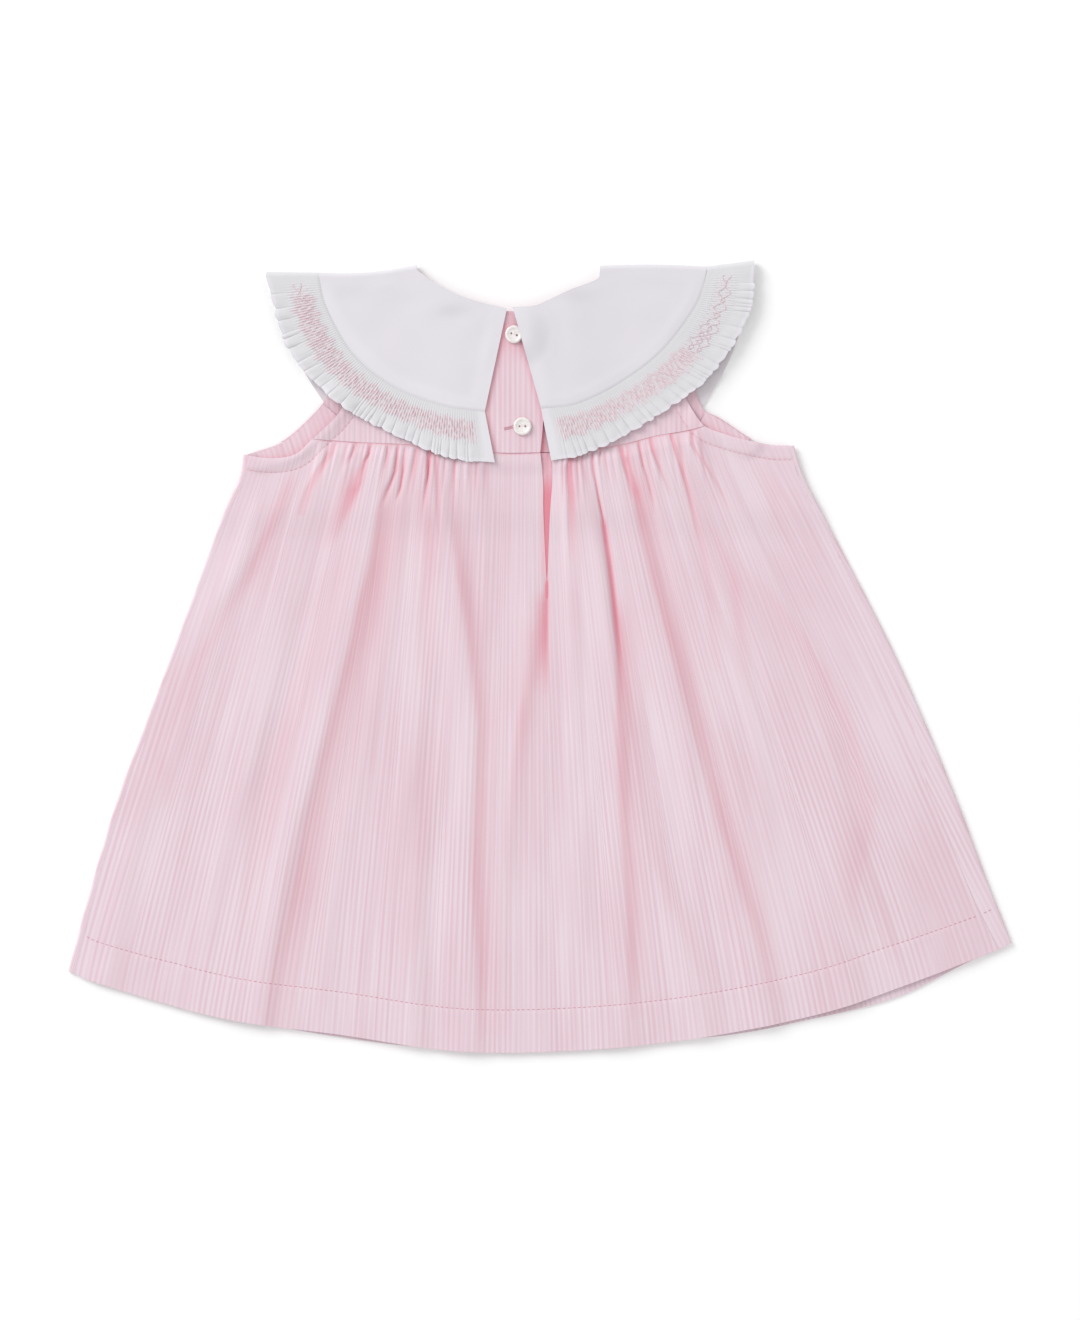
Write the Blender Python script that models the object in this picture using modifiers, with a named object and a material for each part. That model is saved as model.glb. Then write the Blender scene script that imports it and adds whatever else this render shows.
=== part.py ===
"""A toddler dress, laid flat on a table with its back up.

Sizes are in millimetres, +X to the right, +Y towards the collar and +Z up off the table. The origin is
under the middle of the dress, on the table. Every piece of cloth is a grid that is folded over into a
wall, and a surface function lays its points. The layers lie on each other, a seam gap apart.
"""

import math

import bmesh
import bpy
import numpy as np

MM = 0.001
WALL = 1.0                        # thickness of every cloth wall
GAP = 0.3                         # between pieces, at seams and between layers
LAYER = WALL + GAP                # from one layer of cloth to the next

# Middle heights of the layers where the yoke lies
FLOOR_MID = WALL / 2              # front collar, and the skirt's front where it meets the table
FRONT_MID = FLOOR_MID + LAYER     # front yoke, on the front collar
BACK_MID = FRONT_MID + LAYER      # back yoke, on the front yoke
COLLAR_MID = BACK_MID + LAYER     # back collar, on the back yoke

# ---------------------------------------------------------------- outline of the dress, x and y
SIDE_LEFT = [(-157.1, 106.8), (-159.5, 93.5), (-169.1, 72.3), (-192.4, 8.7), (-208.3, -33.7),
             (-224.2, -76.1), (-238.0, -122.0), (-250.2, -167.2)]
SIDE_RIGHT = [(134.6, 111.6), (140.5, 93.5), (151.6, 72.3), (184.4, 8.7), (203.5, -33.7),
              (221.0, -76.1), (237.0, -118.5), (250.2, -151.8)]
HEM_BACK = [(-246.7, -167.9), (-233.2, -173.6), (-169.6, -191.6), (-106.0, -200.6), (-42.4, -209.4),
            (21.2, -208.8), (84.8, -202.2), (148.4, -189.5), (194.5, -174.1), (243.1, -155.4)]
HEM_FRONT = [(-250.2, -167.2), (-169.6, -190.6), (-42.4, -208.8), (84.8, -202.5), (148.4, -191.5),
             (190.3, -180.6), (225.3, -163.5), (250.2, -151.8)]

# How far the side seams lie inside the outline, at shares of the way down
SEAM_INSET = [  # share, left, right
    (0.00, 2.6, 2.6),
    (0.40, 2.6, 3.6),
    (0.55, 2.6, 5.6),
    (0.68, 2.7, 11.5),
    (0.80, 2.8, 10.3),
    (0.92, 3.2, 9.0),
    (1.00, 3.4, 7.0),
]
SIDE_HEM_SLOPE = (0.2, 0.5)       # how the hem slants beside the left and the right side seam

# Armhole edges, from the underarm up to the shoulder
ARMHOLE_BACK_LEFT = [(-157.1, 106.8), (-147.3, 105.2), (-136.5, 105.2), (-128.0, 107.9), (-120.3, 115.3),
                     (-107.1, 128.3), (-101.8, 139.0), (-100.2, 150.0), (-101.2, 173.0), (-104.0, 199.6)]
ARMHOLE_BACK_RIGHT = [(134.6, 111.6), (123.0, 111.9), (107.6, 114.9), (98.6, 117.4), (87.1, 122.2),
                      (79.2, 133.3), (75.3, 143.0), (74.0, 162.0), (75.0, 189.0), (76.3, 203.4)]
ARMHOLE_FRONT_LEFT = [(-157.1, 106.8), (-151.7, 108.5), (-137.5, 113.6), (-124.6, 124.0), (-113.4, 136.8),
                      (-108.5, 152.0), (-107.0, 175.0), (-107.0, 199.6)]
ARMHOLE_FRONT_RIGHT = [(134.6, 111.6), (123.0, 111.9), (112.5, 115.1), (95.4, 126.4), (85.9, 131.9),
                       (81.0, 150.0), (80.0, 175.0), (80.0, 203.4)]

# Seams between yoke and skirt, from left to right
YOKE_SEAM_LEFT = [(-120.3, 115.3), (-98.6, 113.7), (-65.7, 112.1), (-23.9, 108.1), (3.3, 108.2)]
YOKE_SEAM_RIGHT = [(3.3, 108.2), (20.0, 109.3), (44.0, 112.6), (60.9, 116.9), (76.3, 119.5), (87.1, 122.2)]
YOKE_SEAM_FRONT = [(-137.5, 113.6), (-70.0, 110.5), (-10.0, 108.5), (50.0, 111.0), (112.5, 115.1)]

# Neck edges of the yoke, from the centre back to the shoulder
YOKE_NECK_LEFT = [(1.2, 183.8), (-17.5, 182.9), (-34.5, 187.2), (-46.1, 191.3), (-56.2, 196.4), (-63.4, 201.0)]
YOKE_NECK_RIGHT = [(-33.0, 186.6), (-17.5, 182.7), (-3.7, 184.3), (6.0, 188.2), (27.5, 197.6), (31.4, 200.8)]
SHOULDER_LEFT = [(-104.0, 199.6), (-80.0, 201.0)]

# ---------------------------------------------------------------- collar and ruffle
# Back halves, from the centre back to the shoulder fold
NECK_LEFT = [(-17.5, 184.2), (-34.5, 188.3), (-46.1, 192.7), (-56.2, 199.5), (-65.2, 207.5)]
NECK_RIGHT = [(-14.5, 184.9), (-3.7, 185.5), (6.0, 189.5), (28.8, 201.2), (31.8, 207.1)]
RUFFLE_SEAM_LEFT = [(-29.2, 129.8), (-50.9, 133.0), (-76.9, 142.8), (-98.4, 160.1), (-112.5, 186.0),
                    (-117.0, 203.4)]
RUFFLE_SEAM_RIGHT = [(0.5, 131.4), (20.1, 134.1), (43.9, 146.0), (65.6, 163.3), (82.7, 188.2),
                     (88.2, 206.6)]
RUFFLE_EDGE_LEFT = [(-23.9, 102.6), (-46.6, 105.2), (-72.6, 115.3), (-107.1, 134.1), (-133.0, 163.5),
                    (-145.1, 203.8)]
RUFFLE_EDGE_RIGHT = [(6.0, 103.6), (27.6, 108.6), (65.6, 129.4), (91.5, 150.3), (110.6, 183.0),
                     (113.6, 209.8)]
FOLD_SAG = {"left": 1.9, "right": -0.8}   # of the shoulder fold, half way across the collar

# Front edges: quarter ellipses from the shoulder fold to the centre front
FRONT_ELLIPSES = {  # centre x, centre y, half width, half height
    "yoke": (-16.7, 203.6, 48.5, 46.0),
    "neck": (-16.7, 205.5, 48.5, 48.0),
    "seam": (-14.4, 203.0, 101.0, 91.0),
    "edge": (-13.0, 203.5, 121.5, 122.0),
}
CENTRE_FRONT_GAP = 0.25           # degrees left open on each side of the centre front
FRONT_SETTLING = 5                # how soon the front edges settle on their ellipses below the fold

RUFFLE_START = 0.013              # share of the ruffle's width left open at the collar seam
RUFFLE_RISE = 1.5                 # the loose edge lies over the first gathers
PLEATS = 40                       # narrow pleats of the smocked band, on each back half
PLEAT_HEIGHT = 0.5
SMOCKING = (0.20, 0.60)           # where the smocked band lies, as shares of the ruffle's width
DIAMONDS = 14                     # diamonds of the smocking, on each back half
DIAMOND_HEIGHT = 0.4
FLARES = 22                       # waves of the loose edge, on each back half
FLARE_HEIGHT = 1.5
FLARE_SCALLOP = 0.6
FRONT_FLARES = 11                 # on each front half, where its edge shows beside the armhole
FRONT_FLARE_HEIGHT = 1.4
FRONT_FLARES_END = 0.34

# ---------------------------------------------------------------- placket, slit, facings and buttons
LAP_START_X = -36.0               # where the upper back half has climbed on to the lower one
PLACKET_EDGE = [(1.2, 176.4), (1.8, 131.3), (0.5, 111.6), (-0.1, 108.4)]
UNDERLAP_X = (-33.0, 10.0)
UNDERLAP_Y = (107.8, 31.0)
SLIT_END = 0.235                  # share of the skirt's length
SLIT_OPENING = 6.2                # at the yoke seam
NECK_BAND_WIDTH = 7.0
FACING_LEFT = [  # x, y, width
    (-150.0, 108.3, 3.4),
    (-137.5, 113.0, 6.0),
    (-124.6, 123.4, 7.0),
    (-115.2, 134.0, 7.0),
]
FACING_RIGHT = [
    (88.0, 129.8, 6.0),
    (95.4, 125.8, 7.0),
    (104.7, 119.8, 5.6),
    (111.0, 115.6, 3.4),
]
FACING_INSET = 0.5                # inside the front's own armhole edge
BUTTONS = {"button_neck": (-13.7, 170.5), "button_yoke": (-9.3, 121.8)}
BUTTON_PROFILE = [  # radius, height: down the outside from the dished middle
    (0.0, 1.35), (2.6, 1.35), (3.3, 1.75), (4.1, 2.0), (4.6, 1.7), (4.8, 1.1), (4.3, 0.2), (3.6, 0.0),
    (0.0, 0.0),
]
BUTTON_HOLE_RADIUS = 0.65
BUTTON_HOLE_SPACING = 2.6
BUTTON_STEPS = 18

# ---------------------------------------------------------------- folds of the back skirt
# A fold is a ridge with a long left side and a steep right side. Each row gives the widths of the two
# sides, then the foot of the steep side and the height at each station down the skirt.
STATIONS_Y = (105.0, 80.0, 50.0, 10.0, -40.0, -90.0, -140.0, -205.0)
FOLDS = [  # left width, right width, steep side x, height
    (14.0, 7.0, (-126, -135, -155, -183, -207, -216, -224, -235), (0.0, 1.2, 2.0, 2.0, 1.6, 1.0, 0.5, 0.3)),
    (14.0, 8.0, (-116, -121, -128, -138, -149, -155, -160, -166), (0.1, 0.6, 1.2, 1.5, 1.8, 1.6, 1.4, 1.2)),
    (15.0, 6.0, (-79, -85, -92, -101, -115, -129, -140, -150), (0.4, 2.2, 3.4, 4.0, 4.2, 3.8, 3.4, 3.0)),
    (12.0, 8.0, (-62, -62, -62, -63, -64, -65, -65, -66), (0.0, 0.0, 0.3, 0.8, 1.4, 1.8, 1.8, 1.6)),
    (14.0, 5.5, (-52, -49, -45, -39, -36, -38, -38, -36), (0.4, 2.2, 3.2, 3.2, 3.0, 2.8, 2.6, 2.4)),
    (12.0, 5.0, (0, 0, -1, -4, -13, -19, -24, -28), (0.0, 0.0, 0.2, 2.2, 1.8, 1.0, 0.5, 0.3)),
    (5.0, 9.0, (22, 22, 21, 22, 22, 22, 22, 22), (0.0, 1.2, 1.6, 1.8, 1.2, 0.6, 0.3, 0.2)),
    (12.0, 4.5, (23, 28, 33, 37, 40, 41, 42, 41), (0.4, 2.8, 4.4, 4.6, 4.0, 3.2, 2.6, 2.2)),
    (15.0, 6.0, (44, 50, 56, 66, 79, 93, 110, 124), (0.4, 2.2, 3.0, 3.2, 3.4, 3.2, 3.0, 2.6)),
    (12.0, 8.0, (46, 46, 47, 48, 50, 54, 74, 92), (0.0, 0.0, 0.0, 0.0, 0.8, 1.6, 2.0, 1.8)),
    (12.0, 6.0, (67, 73, 81, 99, 118, 130, 140, 150), (0.3, 1.5, 1.8, 1.6, 1.0, 0.6, 0.3, 0.2)),
    (18.0, 10.0, (96, 101, 109, 125, 150, 165, 166, 168), (0.0, 0.5, 1.2, 1.8, 2.0, 2.2, 1.8, 1.4)),
]
FOLD_OVERLAP = 0.35               # share of the lower fold that adds to a higher one beside it
GATHERS = [  # place along the yoke seam, height, length down the skirt
    (-106.0, 1.0, 22.0), (-97.0, 1.8, 30.0), (-88.0, 2.0, 26.0), (-77.0, 1.6, 34.0), (-69.0, 1.9, 26.0),
    (-60.0, 1.8, 36.0), (-47.0, 1.5, 30.0), (-39.0, 1.8, 24.0), (-30.0, 1.0, 20.0), (16.0, 1.8, 30.0),
    (30.0, 1.9, 34.0), (37.0, 1.8, 26.0), (46.0, 1.6, 24.0), (53.0, 1.9, 34.0), (61.0, 1.7, 26.0),
    (70.0, 1.9, 32.0), (79.0, 1.3, 24.0),
]
GATHER_HALF_WIDTH = 2.4


# ================================================================ curves and sheets
def smoothstep(low, high, value):
    """0 below low, 1 above high, and an S-curve between them."""
    share = min(max((value - low) / (high - low), 0.0), 1.0)
    return share * share * (3.0 - 2.0 * share)


def path(rows, steps=14):
    """A smooth curve through rows of x and y, as a function of the share of its length."""
    points = np.array(rows, dtype=float)
    padded = np.vstack([2 * points[0] - points[1], points, 2 * points[-1] - points[-2]])
    dense = [points[0]]
    for before, start, end, after in zip(padded, padded[1:], padded[2:], padded[3:]):
        for step in range(1, steps + 1):
            t = step / steps
            square = (2 * before - 5 * start + 4 * end - after) * t * t
            cube = (3 * start - before - 3 * end + after) * t ** 3
            dense.append(0.5 * (2 * start + (end - before) * t + square + cube))
    dense = np.array(dense)
    lengths = np.concatenate([[0.0], np.cumsum(np.linalg.norm(np.diff(dense, axis=0), axis=1))])
    shares_of_length = lengths / lengths[-1]
    return lambda t: np.array([np.interp(t, shares_of_length, dense[:, axis]) for axis in (0, 1)])


def stretch(curve, start, end):
    """The part of a curve between two shares of its length."""
    return lambda t: curve(start + (end - start) * t)


def moved(curve, x=0.0, y=0.0):
    return lambda t: curve(t) + np.array([x, y])


def beside(curve, distance):
    """The curve moved sideways by a distance, to the left of its own direction."""
    def at(t):
        step = 0.004
        ahead = curve(min(t + step, 1.0)) - curve(max(t - step, 0.0))
        ahead = ahead / np.linalg.norm(ahead)
        return curve(t) + distance * np.array([-ahead[1], ahead[0]])
    return at


def chain(*parts):
    """One edge made of (end share, curve) parts, each read from its own start to its own end."""
    def at(t):
        start = 0.0
        for end, curve in parts:
            if t <= end:
                return curve((t - start) / (end - start))
            start = end
        return parts[-1][1](1.0)
    return at


def share_near(curve, point):
    """The share of a curve's length at its nearest place to a point."""
    tries = np.linspace(0.0, 1.0, 801)
    return float(tries[np.argmin([np.linalg.norm(curve(t) - np.array(point)) for t in tries])])


def patch(top, bottom, left, right):
    """A sheet from a top edge to a bottom edge, both to the right, its sides bowed like left and right."""
    def bow(edge, v):
        return edge(v) - (1 - v) * edge(0.0) - v * edge(1.0)

    def at(u, v):
        return (1 - v) * top(u) + v * bottom(u) + (1 - u) * bow(left, v) + u * bow(right, v)
    return at


def grid_lines(*stretches):
    """Grid lines at shares: (end share, number of steps) pairs, each stretch divided evenly."""
    lines = [0.0]
    for end, steps in stretches:
        start = lines[-1]
        lines += [start + (end - start) * (step + 1) / steps for step in range(steps)]
    return lines


# ================================================================ building
def fresh_scene():
    for old in list(bpy.data.objects):
        bpy.data.objects.remove(old, do_unlink=True)
    for name in ("toddler_dress", "cutters"):
        bpy.context.scene.collection.children.link(bpy.data.collections.new(name))


def surface_material(name, colour, roughness):
    material = bpy.data.materials.new(name)
    material.use_nodes = True
    shader = material.node_tree.nodes["Principled BSDF"]
    shader.inputs["Base Color"].default_value = (*colour, 1.0)
    shader.inputs["Roughness"].default_value = roughness
    return material


def add_piece(name, mesh, material):
    piece = bpy.data.objects.new(name, mesh)
    mesh.materials.append(material)
    mesh.shade_smooth()
    mesh.set_sharp_from_angle(angle=math.radians(40))
    bpy.data.collections["toddler_dress"].objects.link(piece)
    return piece


def normal_at(surface, u, v, side):
    """The surface's normal, from its slopes along u and v."""
    step = 0.0015
    along = np.array(surface(u + step, v, side)) - np.array(surface(u - step, v, side))
    down = np.array(surface(u, v + step, side)) - np.array(surface(u, v - step, side))
    normal = np.cross(down, along)
    return normal / np.linalg.norm(normal)


def sheet_wall(name, material, columns, rows, surface, relief=None, slit=None):
    """A grid folded over into a wall, its middle laid by surface(u, v, side), outer side up at its start.

    columns and rows are the shares at the grid lines, and relief(u, v) raises the outer points alone.
    slit is a column and a row: the grid is cut along that column down to that row, and side tells the
    two edges of the cut apart.
    """
    bm = bmesh.new()
    column_of = bm.verts.layers.int.new("column")
    row_of = bm.verts.layers.int.new("row")
    side_of = bm.verts.layers.int.new("side")
    across, down = len(columns) - 1, len(rows) - 1
    bmesh.ops.create_grid(bm, x_segments=across, y_segments=down, size=0.5)
    for vert in bm.verts:
        vert[column_of] = round((vert.co.x + 0.5) * across)
        vert[row_of] = round((0.5 - vert.co.y) * down)
    if slit:
        def in_slit(vert):
            return vert[column_of] == slit[0] and vert[row_of] <= slit[1]
        bmesh.ops.split_edges(bm, edges=[edge for edge in bm.edges if all(map(in_slit, edge.verts))])
        for vert in filter(in_slit, bm.verts):
            middle = sum(face.calc_center_median().x for face in vert.link_faces) / len(vert.link_faces)
            vert[side_of] = 0 if vert[row_of] == slit[1] else (1 if middle > vert.co.x else -1)

    raised = bmesh.ops.extrude_face_region(bm, geom=bm.faces[:])["geom"]
    outer = {item for item in raised if isinstance(item, bmesh.types.BMVert)}
    facing_up = math.copysign(1.0, normal_at(surface, columns[1] / 2, rows[len(rows) // 2], -1)[2])
    for vert in bm.verts:
        u, v, side = columns[vert[column_of]], rows[vert[row_of]], vert[side_of]
        normal = facing_up * normal_at(surface, u, v, side)
        offset = -WALL / 2
        if vert in outer:
            offset = WALL / 2 + (relief(u, v) if relief else 0.0)
        vert.co = (np.array(surface(u, v, side)) + offset * normal) * MM
    bmesh.ops.recalc_face_normals(bm, faces=bm.faces[:])
    if bm.calc_volume(signed=True) < 0:
        bmesh.ops.reverse_faces(bm, faces=bm.faces[:])
    mesh = bpy.data.meshes.new(name)
    bm.to_mesh(mesh)
    bm.free()
    return add_piece(name, mesh, material)


fresh_scene()
PINK_COTTON = surface_material("pink_striped_cotton", (0.86, 0.62, 0.68), 0.85)
WHITE_COTTON = surface_material("white_cotton", (0.87, 0.86, 0.87), 0.8)
PEARL = surface_material("pearl_button", (0.90, 0.87, 0.84), 0.25)

side_left = path(SIDE_LEFT)
side_right = path(SIDE_RIGHT)
seam_left = path(YOKE_SEAM_LEFT)
seam_right = path(YOKE_SEAM_RIGHT)
seam_front = path(YOKE_SEAM_FRONT)


def split_armhole(rows, seam_end):
    """An armhole edge in two: the skirt's part below the yoke seam, and the yoke's part above it."""
    edge = path(rows)
    split = share_near(edge, seam_end)
    return stretch(edge, 0.0, split), stretch(edge, split, 1.0)


skirt_armhole_left, yoke_armhole_left = split_armhole(ARMHOLE_BACK_LEFT, YOKE_SEAM_LEFT[0])
skirt_armhole_right, yoke_armhole_right = split_armhole(ARMHOLE_BACK_RIGHT, YOKE_SEAM_RIGHT[-1])
skirt_front_left, yoke_front_left = split_armhole(ARMHOLE_FRONT_LEFT, YOKE_SEAM_FRONT[0])
skirt_front_right, yoke_front_right = split_armhole(ARMHOLE_FRONT_RIGHT, YOKE_SEAM_FRONT[-1])


# ================================================================ armhole facings
def facing_place(rows, u, v):
    """A point of a facing: u along its free edge, v from that edge inwards."""
    width = np.interp(u, np.linspace(0.0, 1.0, len(rows)), [row[2] for row in rows])
    edge = beside(path([row[:2] for row in rows]), -(FACING_INSET + width * v))
    return edge(min(max(u, 0.0), 1.0))


FACING_LINES = []                 # points along the middle of both facings
for hand, rows in (("left", FACING_LEFT), ("right", FACING_RIGHT)):
    FACING_LINES += [facing_place(rows, u, 0.5) for u in np.linspace(0.0, 1.0, 24)]
    sheet_wall(
        f"armhole_facing_{hand}", PINK_COTTON, grid_lines((1.0, 10)), grid_lines((1.0, 2)),
        lambda u, v, side, rows=rows: (*facing_place(rows, u, v), BACK_MID),
    )
FACING_LINES = np.array(FACING_LINES)


# ================================================================ how the layers rise over each other
def facing_lift(x, y, reach, fade):
    """How far cloth rises where it lies over a facing."""
    nearest = np.min(np.linalg.norm(FACING_LINES - np.array([x, y]), axis=1))
    return LAYER * (1.0 - smoothstep(reach, reach + fade, nearest))


def yoke_step(y):
    """How far both skirt walls climb on to the front ruffle, just below the yoke."""
    return LAYER * smoothstep(60.0, 80.0, y)


def lap_lift(x, start, end):
    """How far cloth rises over the lapped centre back, between two ramps."""
    return LAYER * smoothstep(start - 10.0, start, x) * (1.0 - smoothstep(end, end + 9.0, x))


def button_lift(x, y):
    """How far the right collar half rises over the neck button."""
    distance = np.linalg.norm(np.array([x, y]) - np.array(BUTTONS["button_neck"]))
    return (BUTTON_PROFILE[3][1] + GAP) * (1.0 - smoothstep(6.3, 20.0, distance))


# ================================================================ front skirt
CURL_RADIUS = LAYER / 2           # of the wall's middle, where the front turns round the side
CURL_REACH = CURL_RADIUS + WALL / 2
STRIP_SHARE, CURL_SHARE = 0.05, 0.10   # where the strip on the back and the turn end, as shares of the grid
SKIRT_ROWS = [0.0, 0.018, 0.04, 0.07, 0.11, 0.165, SLIT_END, 0.32, 0.42, 0.53, 0.64, 0.75, 0.87, 1.0]

front_panel = patch(
    chain(
        (0.10, skirt_front_left),
        (0.90, moved(seam_front, y=-GAP / 2)),
        (1.00, stretch(skirt_front_right, 1.0, 0.0)),
    ),
    path(HEM_FRONT), side_left, side_right,
)


def seam_inset(v, column):
    return np.interp(v, [row[0] for row in SEAM_INSET], [row[column] for row in SEAM_INSET])


def inside_outline(v, column, distance):
    """A place beside the left (1) or right (2) outline, at a distance inside it, for both skirt panels."""
    edge, inwards = ((side_left, 1.0), (side_right, -1.0))[column - 1]
    return edge(v) + distance * np.array([inwards, -SIDE_HEM_SLOPE[column - 1] * v])


def front_skirt_surface(u, v, side):
    """From the left side seam on the back, round the side, over the table and round to the right seam."""
    from_edge = min(u, 1.0 - u)
    if from_edge >= CURL_SHARE:
        across = (u - CURL_SHARE) / (1.0 - 2 * CURL_SHARE)
        x, y = front_panel(across, v)
        return x + CURL_REACH * (1.0 - 2.0 * across), y, FLOOR_MID + yoke_step(y)
    column = 1 if u < 0.5 else 2
    strip_length = seam_inset(v, column) - GAP / 2 - CURL_REACH
    strip = strip_length * max(1.0 - from_edge / STRIP_SHARE, 0.0)
    turn = math.pi * max(from_edge - STRIP_SHARE, 0.0) / (CURL_SHARE - STRIP_SHARE)
    x, y = inside_outline(v, column, CURL_REACH + strip - CURL_RADIUS * math.sin(turn))
    return x, y, FLOOR_MID + CURL_RADIUS * (1.0 + math.cos(turn)) + yoke_step(y)


front_side = [0.0] + [STRIP_SHARE + (CURL_SHARE - STRIP_SHARE) * step / 4 for step in range(5)]
front_middle = [CURL_SHARE + (1.0 - 2 * CURL_SHARE) * step / 14 for step in range(1, 14)]
sheet_wall(
    "front_skirt", PINK_COTTON, front_side + front_middle + [1.0 - share for share in reversed(front_side)],
    SKIRT_ROWS, front_skirt_surface,
)


# ================================================================ back skirt
LEFT_GATHERS_START, SLIT_AT, RIGHT_GATHERS_END = 0.104, 0.5, 0.89
SKIRT_STEPS = (5, 44, 38, 5)      # grid steps: left armhole, gathers, gathers, right armhole
SKIRT_LENGTH = 300.0


def back_side_left(v):
    return inside_outline(v, 1, seam_inset(v, 1) + GAP / 2)


def back_side_right(v):
    return inside_outline(v, 2, seam_inset(v, 2) + GAP / 2)


armhole_start = share_near(skirt_armhole_left, back_side_left(0.0))
armhole_end = share_near(skirt_armhole_right, back_side_right(0.0))
back_top = chain(
    (LEFT_GATHERS_START, stretch(skirt_armhole_left, armhole_start, 1.0)),
    (SLIT_AT, moved(seam_left, y=-GAP / 2)),
    (RIGHT_GATHERS_END, moved(seam_right, y=-GAP / 2)),
    (1.0, stretch(skirt_armhole_right, 1.0, armhole_end)),
)
back_panel = patch(back_top, path(HEM_BACK), back_side_left, back_side_right)
top_shares = np.linspace(0.0, 1.0, 400)
gather_shares = np.interp([row[0] for row in GATHERS], [back_top(u)[0] for u in top_shares], top_shares)


def fold_height(x, y):
    """Height of the long folds at a place on the back skirt."""
    stations = STATIONS_Y[::-1]
    total = 0.0
    for left_width, right_width, places, heights in FOLDS:
        away = x - (np.interp(y, stations, places[::-1]) - right_width)
        width = left_width if away < 0 else right_width
        height = np.interp(y, stations, heights[::-1]) * math.exp(-(away / width) ** 2)
        total = max(total, height) + FOLD_OVERLAP * min(total, height)
    return total


def gather_height(u, v):
    """Height of the gathers below the yoke seam."""
    down = v * SKIRT_LENGTH
    total = 0.0
    for share, (_, height, length) in zip(gather_shares, GATHERS):
        away = (u - share) * SKIRT_LENGTH / GATHER_HALF_WIDTH
        rise = smoothstep(2.0, 13.0, down) * (1.0 - smoothstep(0.45 * length, length, down))
        total += height * rise * math.exp(-away * away)
    return total


def back_skirt_surface(u, v, side):
    """The back lies on the front, over the underlap and the facings, with the slit pulled open."""
    x, y = back_panel(u, v)
    hand = side or math.copysign(1.0, u - SLIT_AT)
    opening = SLIT_OPENING / 2 * max(1.0 - v / SLIT_END, 0.0)
    x += hand * opening * math.exp(-((u - SLIT_AT) / 0.04) ** 2)
    from_seam = min(x - side_left(v)[0], side_right(v)[0] - x - seam_inset(v, 2))
    folds = smoothstep(2.0, 16.0, from_seam) * (fold_height(x, y) + gather_height(u, v))
    lap = lap_lift(x, LAP_START_X, UNDERLAP_X[1] + 1.0)
    lap *= smoothstep(UNDERLAP_Y[1] - 12.0, UNDERLAP_Y[1] - 2.0, y)
    return x, y, FRONT_MID + yoke_step(y) + lap + folds + facing_lift(x, y, 4.6, 6.0)


sheet_wall(
    "back_skirt", PINK_COTTON,
    grid_lines(*zip((LEFT_GATHERS_START, SLIT_AT, RIGHT_GATHERS_END, 1.0), SKIRT_STEPS)),
    SKIRT_ROWS, back_skirt_surface, slit=(sum(SKIRT_STEPS[:2]), SKIRT_ROWS.index(SLIT_END)),
)


# ================================================================ underlap behind the slit
def underlap_surface(u, v, side):
    x = UNDERLAP_X[0] + (UNDERLAP_X[1] - UNDERLAP_X[0]) * u
    y = UNDERLAP_Y[0] + (UNDERLAP_Y[1] - UNDERLAP_Y[0]) * v
    return x, y, FRONT_MID + yoke_step(y)


sheet_wall("slit_underlap", PINK_COTTON, grid_lines((1.0, 2)), grid_lines((1.0, 10)), underlap_surface)


# ================================================================ front yoke
def front_ellipse(name, share):
    """A place on a front edge: share 0 at the left shoulder, 1 at the right one."""
    x, y, half_width, half_height = FRONT_ELLIPSES[name]
    angle = math.pi * (1.0 + share)
    return np.array([x + half_width * math.cos(angle), y + half_height * math.sin(angle)])


SHOULDER_SHARE = 0.2              # of the yoke's upper edge, on each side of the neck
front_yoke_top = chain(
    (SHOULDER_SHARE, path([ARMHOLE_FRONT_LEFT[-1], front_ellipse("yoke", 0.0)])),
    (1.0 - SHOULDER_SHARE, lambda t: front_ellipse("yoke", t)),
    (1.0, path([front_ellipse("yoke", 1.0), ARMHOLE_FRONT_RIGHT[-1]])),
)
front_yoke_panel = patch(
    front_yoke_top, moved(seam_front, y=GAP / 2), stretch(yoke_front_left, 1.0, 0.0),
    stretch(yoke_front_right, 1.0, 0.0),
)


def front_yoke_surface(u, v, side):
    x, y = front_yoke_panel(u, v)
    return x, y, FRONT_MID


sheet_wall(
    "front_yoke", PINK_COTTON,
    grid_lines((SHOULDER_SHARE, 3), (1.0 - SHOULDER_SHARE, 12), (1.0, 3)), grid_lines((1.0, 8)),
    front_yoke_surface,
)


# ================================================================ back yoke and neck band
yoke_neck_left = path(YOKE_NECK_LEFT)
yoke_neck_right = path(YOKE_NECK_RIGHT)
below_band = beside(yoke_neck_left, NECK_BAND_WIDTH + GAP)
LEFT_SHOULDER_SHARE, RIGHT_NECK_SHARE, UNDER_YOKE_SHARE = 0.32, 0.60, 0.30
left_yoke_panel = patch(
    chain(
        (LEFT_SHOULDER_SHARE, path(SHOULDER_LEFT + [tuple(below_band(1.0))])),
        (1.0, stretch(below_band, 1.0, 0.0)),
    ),
    moved(stretch(seam_left, 0.0, share_near(seam_left, PLACKET_EDGE[-1])), y=GAP / 2),
    stretch(yoke_armhole_left, 1.0, 0.0),
    path(PLACKET_EDGE),
)
under_yoke_start = (UNDERLAP_X[0], YOKE_SEAM_RIGHT[0][1])
right_yoke_panel = patch(
    chain(
        (RIGHT_NECK_SHARE, yoke_neck_right),
        (1.0, path([YOKE_NECK_RIGHT[-1], ARMHOLE_BACK_RIGHT[-1]])),
    ),
    moved(
        chain((UNDER_YOKE_SHARE, path([under_yoke_start, YOKE_SEAM_RIGHT[0]])), (1.0, seam_right)), y=GAP / 2,
    ),
    path([YOKE_NECK_RIGHT[0], under_yoke_start]),
    stretch(yoke_armhole_right, 1.0, 0.0),
)


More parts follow.
